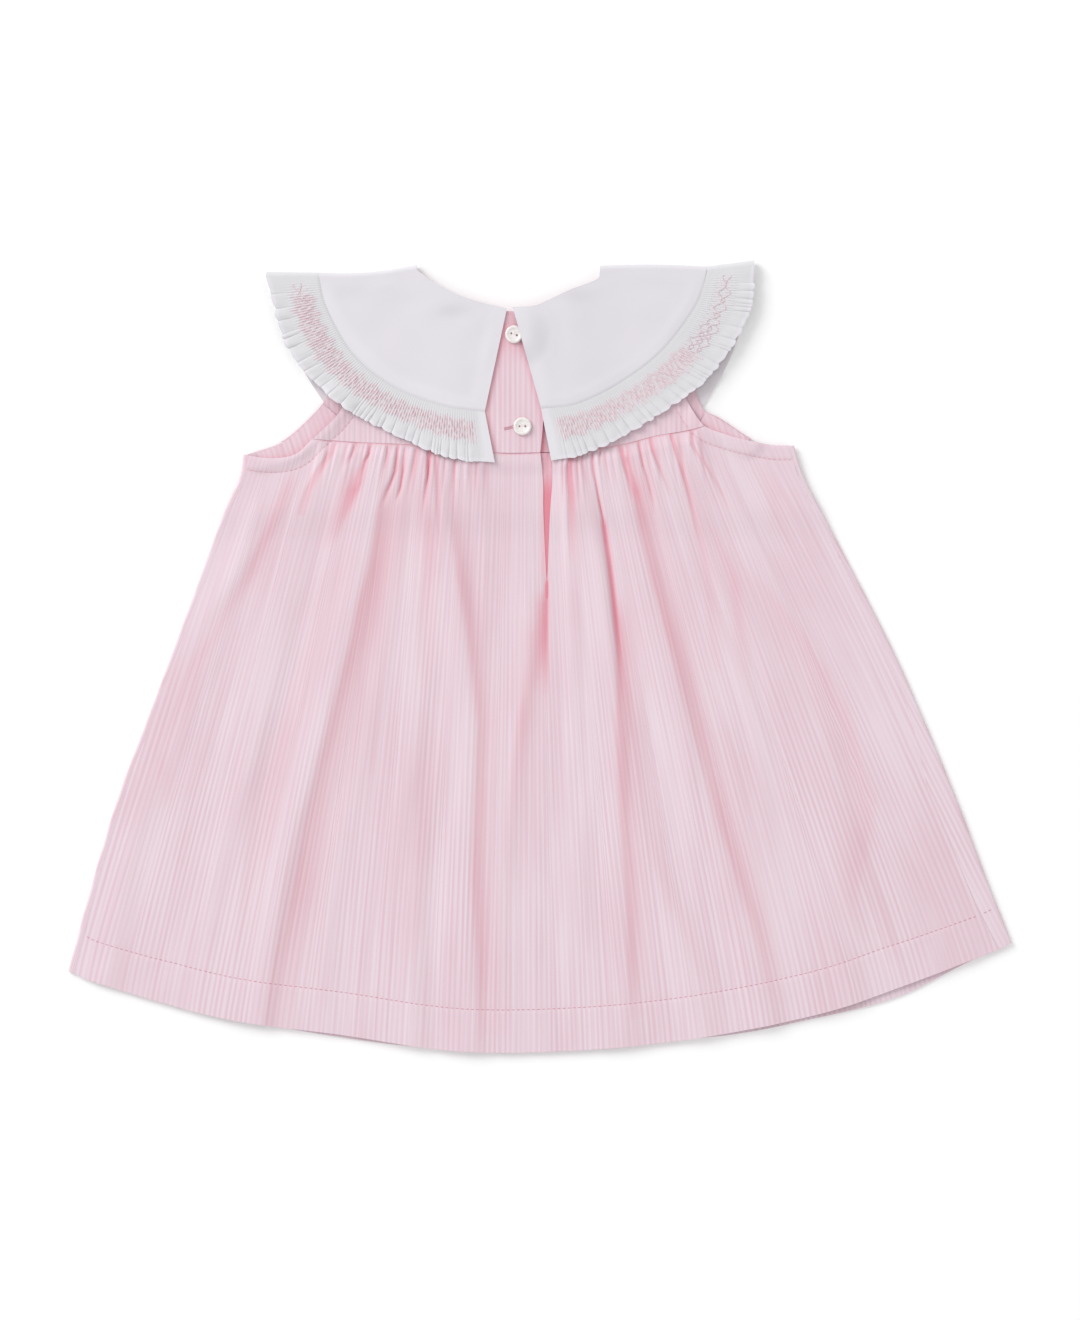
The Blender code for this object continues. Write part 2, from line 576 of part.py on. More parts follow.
def left_yoke_height(x, y):
    return BACK_MID + LAYER * smoothstep(LAP_START_X - 10.0, LAP_START_X, x) + facing_lift(x, y, 4.6, 6.0)


def left_yoke_surface(u, v, side):
    x, y = left_yoke_panel(u, v)
    return x, y, left_yoke_height(x, y)


def right_yoke_surface(u, v, side):
    x, y = right_yoke_panel(u, v)
    return x, y, BACK_MID + facing_lift(x, y, 4.6, 6.0)


def neck_band_surface(u, v, side):
    x, y = beside(yoke_neck_left, NECK_BAND_WIDTH * v)(min(max(u, 0.0), 1.0))
    return x, y, left_yoke_height(x, y)


sheet_wall(
    "back_yoke_left", PINK_COTTON, grid_lines((LEFT_SHOULDER_SHARE, 5), (1.0, 11)), grid_lines((1.0, 8)),
    left_yoke_surface,
)
sheet_wall(
    "back_yoke_right", PINK_COTTON, grid_lines((RIGHT_NECK_SHARE, 9), (1.0, 5)), grid_lines((1.0, 8)),
    right_yoke_surface,
)
sheet_wall("neck_band", PINK_COTTON, grid_lines((1.0, 14)), grid_lines((1.0, 2)), neck_band_surface)


# ================================================================ collar halves and ruffles
BACK_EDGES = {
    "left": {"neck": path(NECK_LEFT), "seam": path(RUFFLE_SEAM_LEFT), "edge": path(RUFFLE_EDGE_LEFT)},
    "right": {"neck": path(NECK_RIGHT), "seam": path(RUFFLE_SEAM_RIGHT), "edge": path(RUFFLE_EDGE_RIGHT)},
}


def collar_height(hand, x, y):
    """Height of the collar's middle, over the lap, the facings and, on the right, the neck button."""
    height = COLLAR_MID + lap_lift(x, LAP_START_X - 4.0, 14.0) + facing_lift(x, y, 8.0, 9.0)
    return height + (button_lift(x, y) if hand == "right" else 0.0)


def flare(s):
    """The wave of a ruffle's loose edge, from -1 to 1, a little uneven along it."""
    return math.sin(2.0 * math.pi * (FLARES * s + 0.16 * math.sin(9.0 * s) + 0.12 * math.sin(23.0 * s)))


def folded_half(hand, inner, outer, start=0.0, rise=0.0, flared=0.0, sag=0.0):
    """A collar half or ruffle: s runs 0 to 1 on the back, to 2 round the shoulder, to 3 on the front."""
    inner_edge, outer_edge = BACK_EDGES[hand][inner], BACK_EDGES[hand][outer]

    def back_place(s, across, v):
        near, far = inner_edge(s), outer_edge(s)
        loose = flared * smoothstep(0.45, 1.0, v) * smoothstep(0.0, 0.02, s) * (1.0 - smoothstep(0.88, 1.0, s))
        x, y = (1.0 - across) * near + across * far
        x, y = np.array([x, y]) + FLARE_SCALLOP * loose * flare(s) * (far - near) / np.linalg.norm(far - near)
        height = collar_height(hand, x, y) + rise * smoothstep(0.1, 1.0, v)
        height += FLARE_HEIGHT * loose * (0.5 + 0.5 * flare(s))
        return x, y, height

    def surface(s, v, side):
        across = start + (1.0 - start) * v
        x, y, height = back_place(min(s, 1.0), across, v)
        turn_radius = (back_place(1.0, across, v)[2] - FLOOR_MID) / 2
        below_fold = turn_radius + WALL / 2 + sag * math.sin(math.pi * min(max(v, 0.0), 1.0))
        y -= below_fold * smoothstep(0.55, 1.0, s)
        if s <= 1.0:
            return x, y, height
        turn = math.pi * min(s - 1.0, 1.0)
        place = np.array([x, y + turn_radius * math.sin(turn)])
        if s > 2.0:
            share = (s - 2.0) * (0.5 - CENTRE_FRONT_GAP / 180.0)
            reach = (0.0, share) if hand == "left" else (1.0, 1.0 - share)
            first, here = [
                (1.0 - across) * front_ellipse(inner, at) + across * front_ellipse(outer, at) for at in reach
            ]
            place = here + (place - first) * max(3.0 - s, 0.0) ** FRONT_SETTLING
        wave = flared * FRONT_FLARE_HEIGHT * smoothstep(0.4, 1.0, v) * smoothstep(2.02, 2.1, s)
        wave *= 1.0 - smoothstep(2.0 + FRONT_FLARES_END - 0.05, 2.0 + FRONT_FLARES_END, s)
        wave *= 0.5 - 0.5 * math.cos(2.0 * math.pi * FRONT_FLARES * (s - 2.0))
        return place[0], place[1], FLOOR_MID + turn_radius * (1.0 + math.cos(turn)) + wave

    return surface


def smocking_relief(s, v):
    """Pleats and smocked diamonds on the outer side of a ruffle's back half."""
    pleat = abs(2.0 * ((s * PLEATS) % 1.0) - 1.0)
    calm = smoothstep(0.0, 0.02, s) * (1.0 - smoothstep(0.93, 1.0, s))
    fading = 1.0 - 0.7 * smoothstep(SMOCKING[1], 1.0, v)
    band = smoothstep(SMOCKING[0] - 0.1, SMOCKING[0], v) * (1.0 - smoothstep(SMOCKING[1], SMOCKING[1] + 0.1, v))
    share = (v - SMOCKING[0]) / (SMOCKING[1] - SMOCKING[0])
    diamond = 0.5 + 0.5 * math.cos(2.0 * math.pi * DIAMONDS * s) * math.cos(2.0 * math.pi * share)
    return calm * (PLEAT_HEIGHT * pleat * fading + DIAMOND_HEIGHT * band * diamond)


def front_lines(flared_steps):
    """Grid lines over the fold and the front half, with a finer part where the ruffle's edge shows."""
    lines = [1.0 + step / 5 for step in range(1, 6)]
    lines += [2.0 + FRONT_FLARES_END * step / flared_steps for step in range(1, flared_steps + 1)]
    return lines + [2.0 + FRONT_FLARES_END + (1.0 - FRONT_FLARES_END) * step / 5 for step in range(1, 6)]


for hand in ("left", "right"):
    sheet_wall(
        f"collar_{hand}", WHITE_COTTON, grid_lines((1.0, 16)) + front_lines(4), grid_lines((1.0, 4)),
        folded_half(hand, "neck", "seam", sag=FOLD_SAG[hand]),
    )
    sheet_wall(
        f"ruffle_{hand}", WHITE_COTTON, grid_lines((1.0, 2 * PLEATS)) + front_lines(12),
        [0.0, SMOCKING[0], sum(SMOCKING) / 2, SMOCKING[1], 0.80, 1.0],
        folded_half(hand, "seam", "edge", start=RUFFLE_START, rise=RUFFLE_RISE, flared=1.0),
        relief=lambda s, v: smocking_relief(s, v) if s < 1.0 else 0.0,
    )


# ================================================================ buttons
BUTTON_BASE = BACK_MID + LAYER + WALL / 2 + GAP   # on the upper yoke half


def add_button(name, x, y):
    """A turned disc with a dished middle and two sewing holes."""
    bm = bmesh.new()
    profile = [bm.verts.new((radius * MM, 0.0, height * MM)) for radius, height in BUTTON_PROFILE]
    for upper, lower in zip(profile, profile[1:]):
        bm.edges.new((upper, lower))
    mesh = bpy.data.meshes.new(name)
    bm.to_mesh(mesh)
    bm.free()
    button = add_piece(name, mesh, PEARL)
    button.location = (x * MM, y * MM, BUTTON_BASE * MM)
    turned = button.modifiers.new("turned", "SCREW")
    turned.steps = turned.render_steps = BUTTON_STEPS
    turned.use_merge_vertices = True
    turned.merge_threshold = 0.00001
    for hand in (-0.5, 0.5):
        bpy.ops.mesh.primitive_cylinder_add(
            vertices=8, radius=BUTTON_HOLE_RADIUS * MM, depth=0.02,
            location=((x + hand * BUTTON_HOLE_SPACING) * MM, y * MM, BUTTON_BASE * MM),
            rotation=(0.0, 0.0, math.radians(11.0)),
        )
        cutter = bpy.context.object
        cutter.name = f"{name}_hole_{'left' if hand < 0 else 'right'}"
        cutter.hide_render = True
        cutter.display_type = "WIRE"
        for collection in list(cutter.users_collection):
            collection.objects.unlink(cutter)
        bpy.data.collections["cutters"].objects.link(cutter)
        hole = button.modifiers.new(cutter.name, "BOOLEAN")
        hole.operation = "DIFFERENCE"
        hole.object = cutter


for name, (x, y) in BUTTONS.items():
    add_button(name, x, y)
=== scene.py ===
"""A toddler dress of striped cotton with a white smocked collar, laid flat with its back up.

Sizes are in millimetres and become metres where a mesh is laid. +X is to the right, +Y towards the collar
and +Z up off the table.
"""

import math

import bmesh
import bpy
import numpy as np
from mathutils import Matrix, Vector
from mathutils.bvhtree import BVHTree


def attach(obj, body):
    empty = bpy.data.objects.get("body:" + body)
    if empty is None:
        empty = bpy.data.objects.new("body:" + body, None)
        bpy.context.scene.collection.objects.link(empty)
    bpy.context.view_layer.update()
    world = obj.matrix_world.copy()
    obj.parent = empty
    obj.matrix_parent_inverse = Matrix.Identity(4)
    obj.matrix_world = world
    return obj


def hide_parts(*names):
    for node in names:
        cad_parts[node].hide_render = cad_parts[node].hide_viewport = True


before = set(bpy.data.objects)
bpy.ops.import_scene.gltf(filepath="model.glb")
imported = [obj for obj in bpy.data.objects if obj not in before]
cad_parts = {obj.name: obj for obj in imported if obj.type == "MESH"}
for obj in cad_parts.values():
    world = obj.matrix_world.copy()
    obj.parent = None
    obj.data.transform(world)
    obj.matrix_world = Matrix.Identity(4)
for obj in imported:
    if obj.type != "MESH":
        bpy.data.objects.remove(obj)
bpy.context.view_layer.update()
bpy.ops.object.select_all(action="DESELECT")


# ================================================================ front of the skirt
# The front panel is an A-line piece of fine-striped cotton. It lies on the table, turns round both sides
# and is sewn to the back along side seams that show as a strip beside the back panel.
MM = 0.001
CLOTH = 1.1  # thickness of a laid piece of cloth, its turned edges included
SEAM_GAP = -0.1  # between pieces that are sewn edge to edge: their edges meet
LAYER = 1.3  # from one layer of cloth to the next
FLOOR_MID, FRONT_MID, BACK_MID, COLLAR_MID = 0.5, 1.8, 3.1, 4.4  # middles of the layers at the yoke
SIDE_LEFT = [(-157.1, 106.8), (-159.5, 93.5), (-169.1, 72.3), (-192.4, 8.7), (-208.3, -33.7),
             (-224.2, -76.1), (-238.0, -122.0), (-250.2, -167.2)]
SIDE_RIGHT = [(134.6, 111.6), (140.5, 93.5), (151.6, 72.3), (184.4, 8.7), (203.5, -33.7),
              (221.0, -76.1), (237.0, -118.5), (250.2, -151.8)]
HEM_FRONT = [(-250.2, -167.2), (-169.6, -190.6), (-42.4, -208.8), (84.8, -202.5), (148.4, -191.5),
             (190.3, -180.6), (225.3, -163.5), (250.2, -151.8)]
SEAM_INSET = [  # share down, how far the left and right side seams lie inside the outline
    (0.00, 2.6, 2.6),
    (0.40, 2.6, 3.6),
    (0.55, 2.6, 5.6),
    (0.68, 2.7, 11.5),
    (0.80, 2.8, 10.3),
    (0.92, 3.2, 9.0),
    (1.00, 3.4, 7.0),
]
SIDE_HEM_SLOPE = (0.2, 0.5)  # of the hem beside the left and the right outline
ARMHOLE_FRONT_LEFT = [(-157.1, 106.8), (-151.7, 108.5), (-137.5, 113.6), (-124.6, 124.0), (-113.4, 136.8),
                      (-108.5, 152.0), (-107.0, 175.0), (-107.0, 199.6)]
ARMHOLE_FRONT_RIGHT = [(134.6, 111.6), (123.0, 111.9), (112.5, 115.1), (95.4, 126.4), (85.9, 131.9),
                       (81.0, 150.0), (80.0, 175.0), (80.0, 203.4)]
YOKE_SEAM_FRONT = [(-137.5, 113.6), (-70.0, 110.5), (-10.0, 108.5), (50.0, 111.0), (112.5, 115.1)]
CURL_RADIUS = LAYER / 2
CURL_REACH = CURL_RADIUS + CLOTH / 2
STRIP_SHARE, CURL_SHARE = 0.05, 0.10  # of the panel's width: strip on the back, strip and turned side
PANEL_TOP_WIDTH, PANEL_FLARE, PANEL_LENGTH = 440.0, 60.0, 320.0  # as the threads run
STRIPE_PERIOD = 2.75
THREAD_SPACING = (0.00048, 0.00052)  # metres between threads of the weft and of the warp


def capped(share):
    return np.clip(share, 0.0, 1.0)


def rise(low, high, value):
    """0 up to low and 1 from high on, with a soft ramp between."""
    share = capped((value - low) / (high - low))
    return share * share * (3.0 - 2.0 * share)


def lengths_along(points):
    """How far along a line each of its points lies."""
    return np.concatenate([[0.0], np.cumsum(np.linalg.norm(np.diff(points, axis=0), axis=1))])


def read_off(at, lengths, points):
    """Places between the points of a line, at some lengths along it."""
    return np.stack([np.interp(at, lengths, points[:, axis]) for axis in (0, 1)], axis=-1)


def path(rows):
    """A smooth curve through rows of x and y, as a function of the share of its length."""
    points = np.array(rows, dtype=float)
    padded = np.vstack([2 * points[0] - points[1], points, 2 * points[-1] - points[-2]])
    t = np.linspace(0.0, 1.0, 15)[:-1, None]
    dense = []
    for before, start, end, after in zip(padded, padded[1:], padded[2:], padded[3:]):
        square = 2 * before - 5 * start + 4 * end - after
        cube = 3 * start - before - 3 * end + after
        dense.append(0.5 * (2 * start + (end - before) * t + square * t ** 2 + cube * t ** 3))
    dense = np.vstack(dense + [points[-1:]])
    lengths = lengths_along(dense)
    return lambda t: read_off(t, lengths / lengths[-1], dense)


def stretch(curve, start, end):
    """The part of a curve between two shares of its length."""
    return lambda t: curve(start + (end - start) * t)


def moved(curve, x=0.0, y=0.0):
    return lambda t: curve(t) + np.array([x, y])


def chain(*parts):
    """One edge made of (end share, curve) parts, each read from its own start to its own end."""
    def at(t):
        place, start = None, 0.0
        for end, curve in parts:
            here = curve(capped((t - start) / (end - start)))
            place = here if place is None else np.where(np.asarray(t > start)[..., None], here, place)
            start = end
        return place
    return at


def share_near(curve, point):
    """The share of a curve's length at its nearest place to a point."""
    tries = np.linspace(0.0, 1.0, 801)
    return tries[np.argmin(np.linalg.norm(curve(tries) - np.asarray(point), axis=-1))]


def patch(top, bottom, left, right):
    """A sheet from a top edge to a bottom edge, both to the right, its sides bowed like left and right."""
    def bow(edge, v):
        return edge(v) - (1 - v)[..., None] * edge(0.0) - v[..., None] * edge(1.0)

    def at(u, v):
        wide, low = u[..., None], v[..., None]
        return (1 - low) * top(u) + low * bottom(u) + (1 - wide) * bow(left, v) + wide * bow(right, v)
    return at


def lines(*stretches):
    """Grid lines at shares: (end share, number of steps) pairs, each stretch divided evenly."""
    shares = [0.0]
    for end, steps in stretches:
        start = shares[-1]
        shares += [start + (end - start) * (step + 1) / steps for step in range(steps)]
    return np.array(shares)


def lay_cloth(name, node, columns, rows, surface, threads, material, slit=None, fine_rows=0):
    """Lays a grid where surface(u, v, side) says and gives it the cloth's thickness, for a CAD node.

    surface gives places, heights and any shading attributes, as arrays or as one number. threads gives
    how far each point lies along the weft and the warp, which the stripes follow. slit is a column and a
    row to cut down to, and the first fine_rows rows get twice as many columns.
    """
    across, down = len(columns) - 1, len(rows) - 1
    bpy.ops.mesh.primitive_grid_add(x_subdivisions=across, y_subdivisions=down, size=1.0)
    cloth = bpy.context.object
    cloth.name = cloth.data.name = name
    mesh = cloth.data
    if slit:
        bm = bmesh.new()
        bm.from_mesh(mesh)
        along, end = slit[0] / across - 0.5, 0.5 - slit[1] / down
        cut = [
            edge for edge in bm.edges
            if all(abs(vert.co.x - along) < 1e-4 and vert.co.y > end - 1e-4 for vert in edge.verts)
        ]
        bmesh.ops.split_edges(bm, edges=cut)
        level = [
            edge for edge in bm.edges
            if abs(edge.verts[0].co.y - edge.verts[1].co.y) < 1e-6
            and edge.verts[0].co.y > 0.5 - (fine_rows + 0.5) / down
        ]
        bmesh.ops.subdivide_edges(bm, edges=level, cuts=1, use_grid_fill=True)
        bm.to_mesh(mesh)
        bm.free()
    count = len(mesh.vertices)
    flat = np.array([vertex.co for vertex in mesh.vertices])
    corners = np.array([loop.vertex_index for loop in mesh.loops])
    sizes = np.array([len(face.vertices) for face in mesh.polygons])
    faces = np.repeat(np.arange(len(sizes)), sizes)
    middles = (np.bincount(faces, flat[corners, 0]) / sizes)[faces]
    weight = np.bincount(corners, minlength=count)
    side = np.sign(np.round(np.bincount(corners, middles, count) / weight - flat[:, 0], 7))
    u = np.interp((flat[:, 0] + 0.5) * across, np.arange(across + 1), columns)
    v = rows[np.rint((0.5 - flat[:, 1]) * down).astype(int)]
    place, *values = surface(u, v, side)
    height, *shading = [value + np.zeros(count) for value in values]
    mesh.vertices.foreach_set("co", np.column_stack([place, height]).ravel() * MM)
    # the shading attributes: painted shade, the pink of thread showing through, and whiter double cloth that
    # also serves as painted light
    for label, shares in zip(("crease_and_shade", "blush", "double_and_painted_light"), shading):
        mesh.attributes.new(label, "FLOAT", "POINT").data.foreach_set("value", shares.astype(np.float32))
    mesh.uv_layers[0].data.foreach_set("uv", np.stack(threads(u, v, place), axis=-1)[corners].ravel() * MM)
    mesh.update()
    wall = cloth.modifiers.new("wall", "SOLIDIFY")
    wall.thickness = CLOTH * MM
    wall.offset = 0.0
    bpy.ops.object.modifier_apply(modifier=wall.name)
    bpy.ops.object.shade_smooth_by_angle(angle=math.radians(60))
    mesh.materials.append(material)
    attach(cloth, "root")
    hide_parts(node)
    bpy.ops.object.select_all(action="DESELECT")
    return cloth


def add_node(tree, kind, inputs=(), **settings):
    """A shader node with its settings, and its inputs set or linked."""
    node = tree.nodes.new(kind)
    for key, value in settings.items():
        setattr(node, key, value)
    for key, value in dict(inputs).items():
        if isinstance(value, bpy.types.NodeSocket):
            tree.links.new(value, node.inputs[key])
        else:
            node.inputs[key].default_value = value
    return node


def maths(tree, operation, *values):
    return add_node(tree, "ShaderNodeMath", enumerate(values), operation=operation).outputs[0]


def mixed(tree, share, first, second):
    """One colour mixed into another."""
    return add_node(tree, "ShaderNodeMix", {0: share, 6: first, 7: second}, data_type="RGBA").outputs[2]


def clamped(tree, value):
    return add_node(tree, "ShaderNodeClamp", {0: value}).outputs[0]


def shading(tree, label):
    """A shading attribute that a surface gave its mesh."""
    return add_node(tree, "ShaderNodeAttribute", attribute_name=label).outputs[2]


def noise(tree, vector, scale, detail=2.0):
    """Noise over the cloth, its scale given along the weft and the warp, per metre."""
    spread = add_node(tree, "ShaderNodeMapping", {0: vector, 3: (*scale, 1.0)})
    texture = add_node(tree, "ShaderNodeTexNoise", {0: spread.outputs[0], "Scale": 1.0, "Detail": detail})
    return texture.outputs[0]


def weave(tree, vector):
    """Height of a plain weave of fine threads."""
    parts = add_node(tree, "ShaderNodeSeparateXYZ", {0: vector}).outputs
    waves = [
        maths(tree, "SINE", maths(tree, "MULTIPLY", part, math.tau / spacing))
        for part, spacing in zip(parts, THREAD_SPACING)
    ]
    return maths(tree, "MULTIPLY", *waves)


def new_material(name, settings):
    """A material with settings on its shader, and the node tree and shader that it has."""
    material = bpy.data.materials.new(name)
    material.use_nodes = True
    shader = material.node_tree.nodes["Principled BSDF"]
    for socket, value in settings.items():
        shader.inputs[socket].default_value = value
    return material, material.node_tree, shader


def cotton_shader(name, sheen):
    return new_material(name, {
        "Roughness": 0.82, "Specular IOR Level": 0.25, "Sheen Weight": sheen, "Sheen Roughness": 0.5,
    })


def add_bump(tree, shader, strength, distance, height):
    bump = add_node(tree, "ShaderNodeBump", {"Strength": strength, "Distance": distance, "Height": height})
    tree.links.new(bump.outputs[0], shader.inputs["Normal"])


def striped_cotton(name, shade_all_over=0.0):
    """Cotton with a fine raised stripe, and deep pink painted shade in its folds, creases and shaded places.
    """
    material, tree, shader = cotton_shader(name, 0.12)
    threads = add_node(tree, "ShaderNodeUVMap").outputs[0]
    across, along = add_node(tree, "ShaderNodeSeparateXYZ", {0: threads}).outputs[:2]
    wander = maths(tree, "MULTIPLY_ADD", noise(tree, threads, (260.0, 9.0)), 0.0016, -0.0008)
    turns = maths(tree, "MULTIPLY", maths(tree, "ADD", across, wander), math.tau / (STRIPE_PERIOD * MM))
    stripe = maths(tree, "MULTIPLY_ADD", maths(tree, "SINE", turns), 0.5, 0.5)
    streak = noise(tree, threads, (760.0, 9.0), 3.0)
    cloud = noise(tree, threads, (30.0, 9.0))
    strong = maths(tree, "MULTIPLY_ADD", noise(tree, threads, (50.0, 7.0)), 2.0, -0.45)
    drawn_up = maths(tree, "MINIMUM", maths(tree, "MULTIPLY_ADD", along, 3.6, 0.25), 1.0)
    strong = maths(tree, "MULTIPLY", strong, drawn_up)
    share = maths(tree, "MULTIPLY", maths(tree, "ADD", stripe, -0.5), strong)
    share = maths(tree, "ADD", share, maths(tree, "MULTIPLY_ADD", streak, 1.7, -0.40))
    share = maths(tree, "ADD", share, maths(tree, "MULTIPLY_ADD", cloud, 1.6, -0.80))
    colour = mixed(tree, clamped(tree, share), LIGHT_PINK, STRIPE_PINK)
    # painted shade: the shading attribute, plus an even share for the whole piece, mixes in the deep pink
    crease_and_shade = clamped(tree, maths(tree, "ADD", shading(tree, "crease_and_shade"), shade_all_over))
    tree.links.new(mixed(tree, crease_and_shade, colour, PAINTED_SHADE_PINK), shader.inputs["Base Color"])
    height = maths(tree, "MULTIPLY_ADD", weave(tree, threads), 0.12, maths(tree, "MULTIPLY", stripe, 0.6))
    height = maths(tree, "ADD", height, maths(tree, "MULTIPLY", streak, 0.5))
    add_bump(tree, shader, 0.32, 0.00025, height)
    return material


LIGHT_PINK = (0.780, 0.650, 0.706, 1.0)
STRIPE_PINK = (0.712, 0.512, 0.580, 1.0)
# the colour of the painted shade
PAINTED_SHADE_PINK = (0.74, 0.235, 0.305, 1.0)
pink_stripe = striped_cotton("pink striped cotton")
# the binding gets an even share of painted shade all over
pink_binding = striped_cotton("pink binding", shade_all_over=0.05)


def yoke_step(y):
    """How far both skirt walls climb on to the front ruffle, just below the yoke."""
    return LAYER * rise(60.0, 80.0, y)


def split_armhole(rows, seam_end):
    """An armhole edge in two: the skirt's part below the yoke seam, and the yoke's part above it."""
    edge = path(rows)
    split = share_near(edge, seam_end)
    return stretch(edge, 0.0, split), stretch(edge, split, 1.0)


side_left, side_right, seam_front = path(SIDE_LEFT), path(SIDE_RIGHT), path(YOKE_SEAM_FRONT)
skirt_front_left, yoke_front_left = split_armhole(ARMHOLE_FRONT_LEFT, YOKE_SEAM_FRONT[0])
skirt_front_right, yoke_front_right = split_armhole(ARMHOLE_FRONT_RIGHT, YOKE_SEAM_FRONT[-1])


def seam_inset(v, column):
    return np.interp(v, [row[0] for row in SEAM_INSET], [row[column] for row in SEAM_INSET])


def inside_outline(v, column, distance):
    """A place beside the left (1) or right (2) outline, at a distance inside it, for both skirt panels."""
    edge, inwards = ((side_left, 1.0), (side_right, -1.0))[column - 1]
    distance = np.asarray(distance)
    return edge(v) + np.stack([distance * inwards, -distance * SIDE_HEM_SLOPE[column - 1] * v], axis=-1)


front_panel = patch(
    chain(
        (0.10, skirt_front_left),
        (0.90, moved(seam_front, y=-SEAM_GAP / 2)),
        (1.00, stretch(skirt_front_right, 1.0, 0.0)),
    ),
    path(HEM_FRONT), side_left, side_right,
)


def across_panel(u):
    """Distance from the panel's nearer edge, share across its flat part, and share across the strip."""
    from_edge = np.minimum(u, 1.0 - u)
    return from_edge, capped((u - CURL_SHARE) / (1.0 - 2 * CURL_SHARE)), capped(1.0 - from_edge / STRIP_SHARE)


def front_skirt_surface(u, v, side):
    """From the left side seam on the back, round the side, over the table and round to the right seam."""
    from_edge, across, beyond = across_panel(u)
    panel = front_panel(across, v)
    panel[:, 0] += CURL_REACH * (1.0 - 2.0 * across)
    turn = math.pi * capped((from_edge - STRIP_SHARE) / (CURL_SHARE - STRIP_SHARE))
    beside_left, beside_right = [
        inside_outline(
            v, column,
            CURL_REACH - CURL_RADIUS * np.sin(turn)
            + (seam_inset(v, column) - SEAM_GAP / 2 - CURL_REACH) * beyond,
        ) for column in (1, 2)
    ]
    turned = np.where((u < 0.5)[:, None], beside_left, beside_right)
    flat = (from_edge >= CURL_SHARE)[:, None]
    place = np.where(flat, panel, turned)
    climb = np.where(flat[:, 0], 0.0, CURL_RADIUS * (1.0 + np.cos(turn)))
    return place, FLOOR_MID + climb + yoke_step(place[:, 1]), 0.0


def front_threads(u, v, place):
    """Stripes run down the panel, and on round both sides."""
    _, across, beyond = across_panel(u)
    weft = (across - 0.5) * (PANEL_TOP_WIDTH + PANEL_FLARE * v)
    return weft + np.sign(u - 0.5) * seam_inset(v, 2) * beyond, v * PANEL_LENGTH


side_lines = lines((STRIP_SHARE, 6), (CURL_SHARE, 10))
front_lines = np.concatenate([side_lines, lines((1.0, 64))[1:-1] * (1 - 2 * CURL_SHARE) + CURL_SHARE,
                              1.0 - side_lines[::-1]])
front_skirt = lay_cloth("skirt_front_panel", "front_skirt", front_lines, lines((1.0, 110)),
                        front_skirt_surface, front_threads, pink_stripe)


# ================================================================ front yoke and armhole facings
# The front yoke is a plain flat piece with a scooped neck. Its armholes are faced on the inside with bias
# strips of the same cotton, which show between the front and the back edges.
FACING_LEFT = [  # x, y, width
    (-150.0, 108.3, 4.0),
    (-137.5, 113.0, 9.0),
    (-124.6, 123.4, 11.2),
    (-115.2, 134.0, 11.6),
]
FACING_RIGHT = [
    (88.0, 129.8, 6.0),
    (95.4, 125.8, 7.0),
    (104.7, 119.8, 5.6),
    (111.0, 115.6, 3.4),
]
FACING_INSET = 0.5
FRONT_ELLIPSES = {  # centre x, centre y, half width, half height
    "yoke": (-16.7, 203.6, 48.5, 46.0),
    "neck": (-16.7, 205.5, 48.5, 48.0),
    "seam": (-14.4, 203.0, 101.0, 91.0),
    "edge": (-13.0, 203.5, 121.5, 122.0),
}
SHOULDER_SHARE = 0.2
FULL_STRIPE = 400.0  # so far along the warp the stripe has its full strength


def front_ellipse(name, share):
    """A place on a front edge: share 0 at the left shoulder, 1 at the right one."""
    x, y, half_width, half_height = FRONT_ELLIPSES[name]
    angle = math.pi * (1.0 + share)
    return np.stack([x + half_width * np.cos(angle), y + half_height * np.sin(angle)], axis=-1)


def straight_threads(u, v, place):
    """Stripes that run up and down the dress."""
    return place[:, 0], place[:, 1] + FULL_STRIPE


front_yoke_panel = patch(
    chain(
        (SHOULDER_SHARE, path([ARMHOLE_FRONT_LEFT[-1], front_ellipse("yoke", 0.0)])),
        (1.0 - SHOULDER_SHARE, lambda t: front_ellipse("yoke", t)),
        (1.0, path([front_ellipse("yoke", 1.0), ARMHOLE_FRONT_RIGHT[-1]])),
    ),
    moved(seam_front, y=SEAM_GAP / 2),
    stretch(yoke_front_left, 1.0, 0.0), stretch(yoke_front_right, 1.0, 0.0),
)
front_yoke = lay_cloth(
    "yoke_front", "front_yoke",
    lines((SHOULDER_SHARE, 16), (1.0 - SHOULDER_SHARE, 60), (1.0, 16)), lines((1.0, 50)),
    # an even painted shade over the front yoke
    lambda u, v, side: (front_yoke_panel(u, v), FRONT_MID, 0.12), straight_threads, pink_stripe,
)


def of_length(vectors, length=1.0):
    return vectors * (length / np.linalg.norm(vectors, axis=-1, keepdims=True))


def beside(curve, distance):
    """The curve moved sideways by distances, to the left of its own direction."""
    def at(t):
        ahead = of_length(curve(np.minimum(t + 0.004, 1.0)) - curve(np.maximum(t - 0.004, 0.0)))
        left = np.stack([-ahead[..., 1], ahead[..., 0]], axis=-1)
        return curve(t) + left * np.asarray(distance)[..., None]
    return at


def facing_place(rows, u, v):
    width = np.interp(u, np.linspace(0.0, 1.0, len(rows)), [row[2] for row in rows])
    return beside(path([row[:2] for row in rows]), -(FACING_INSET + width * v))(u)


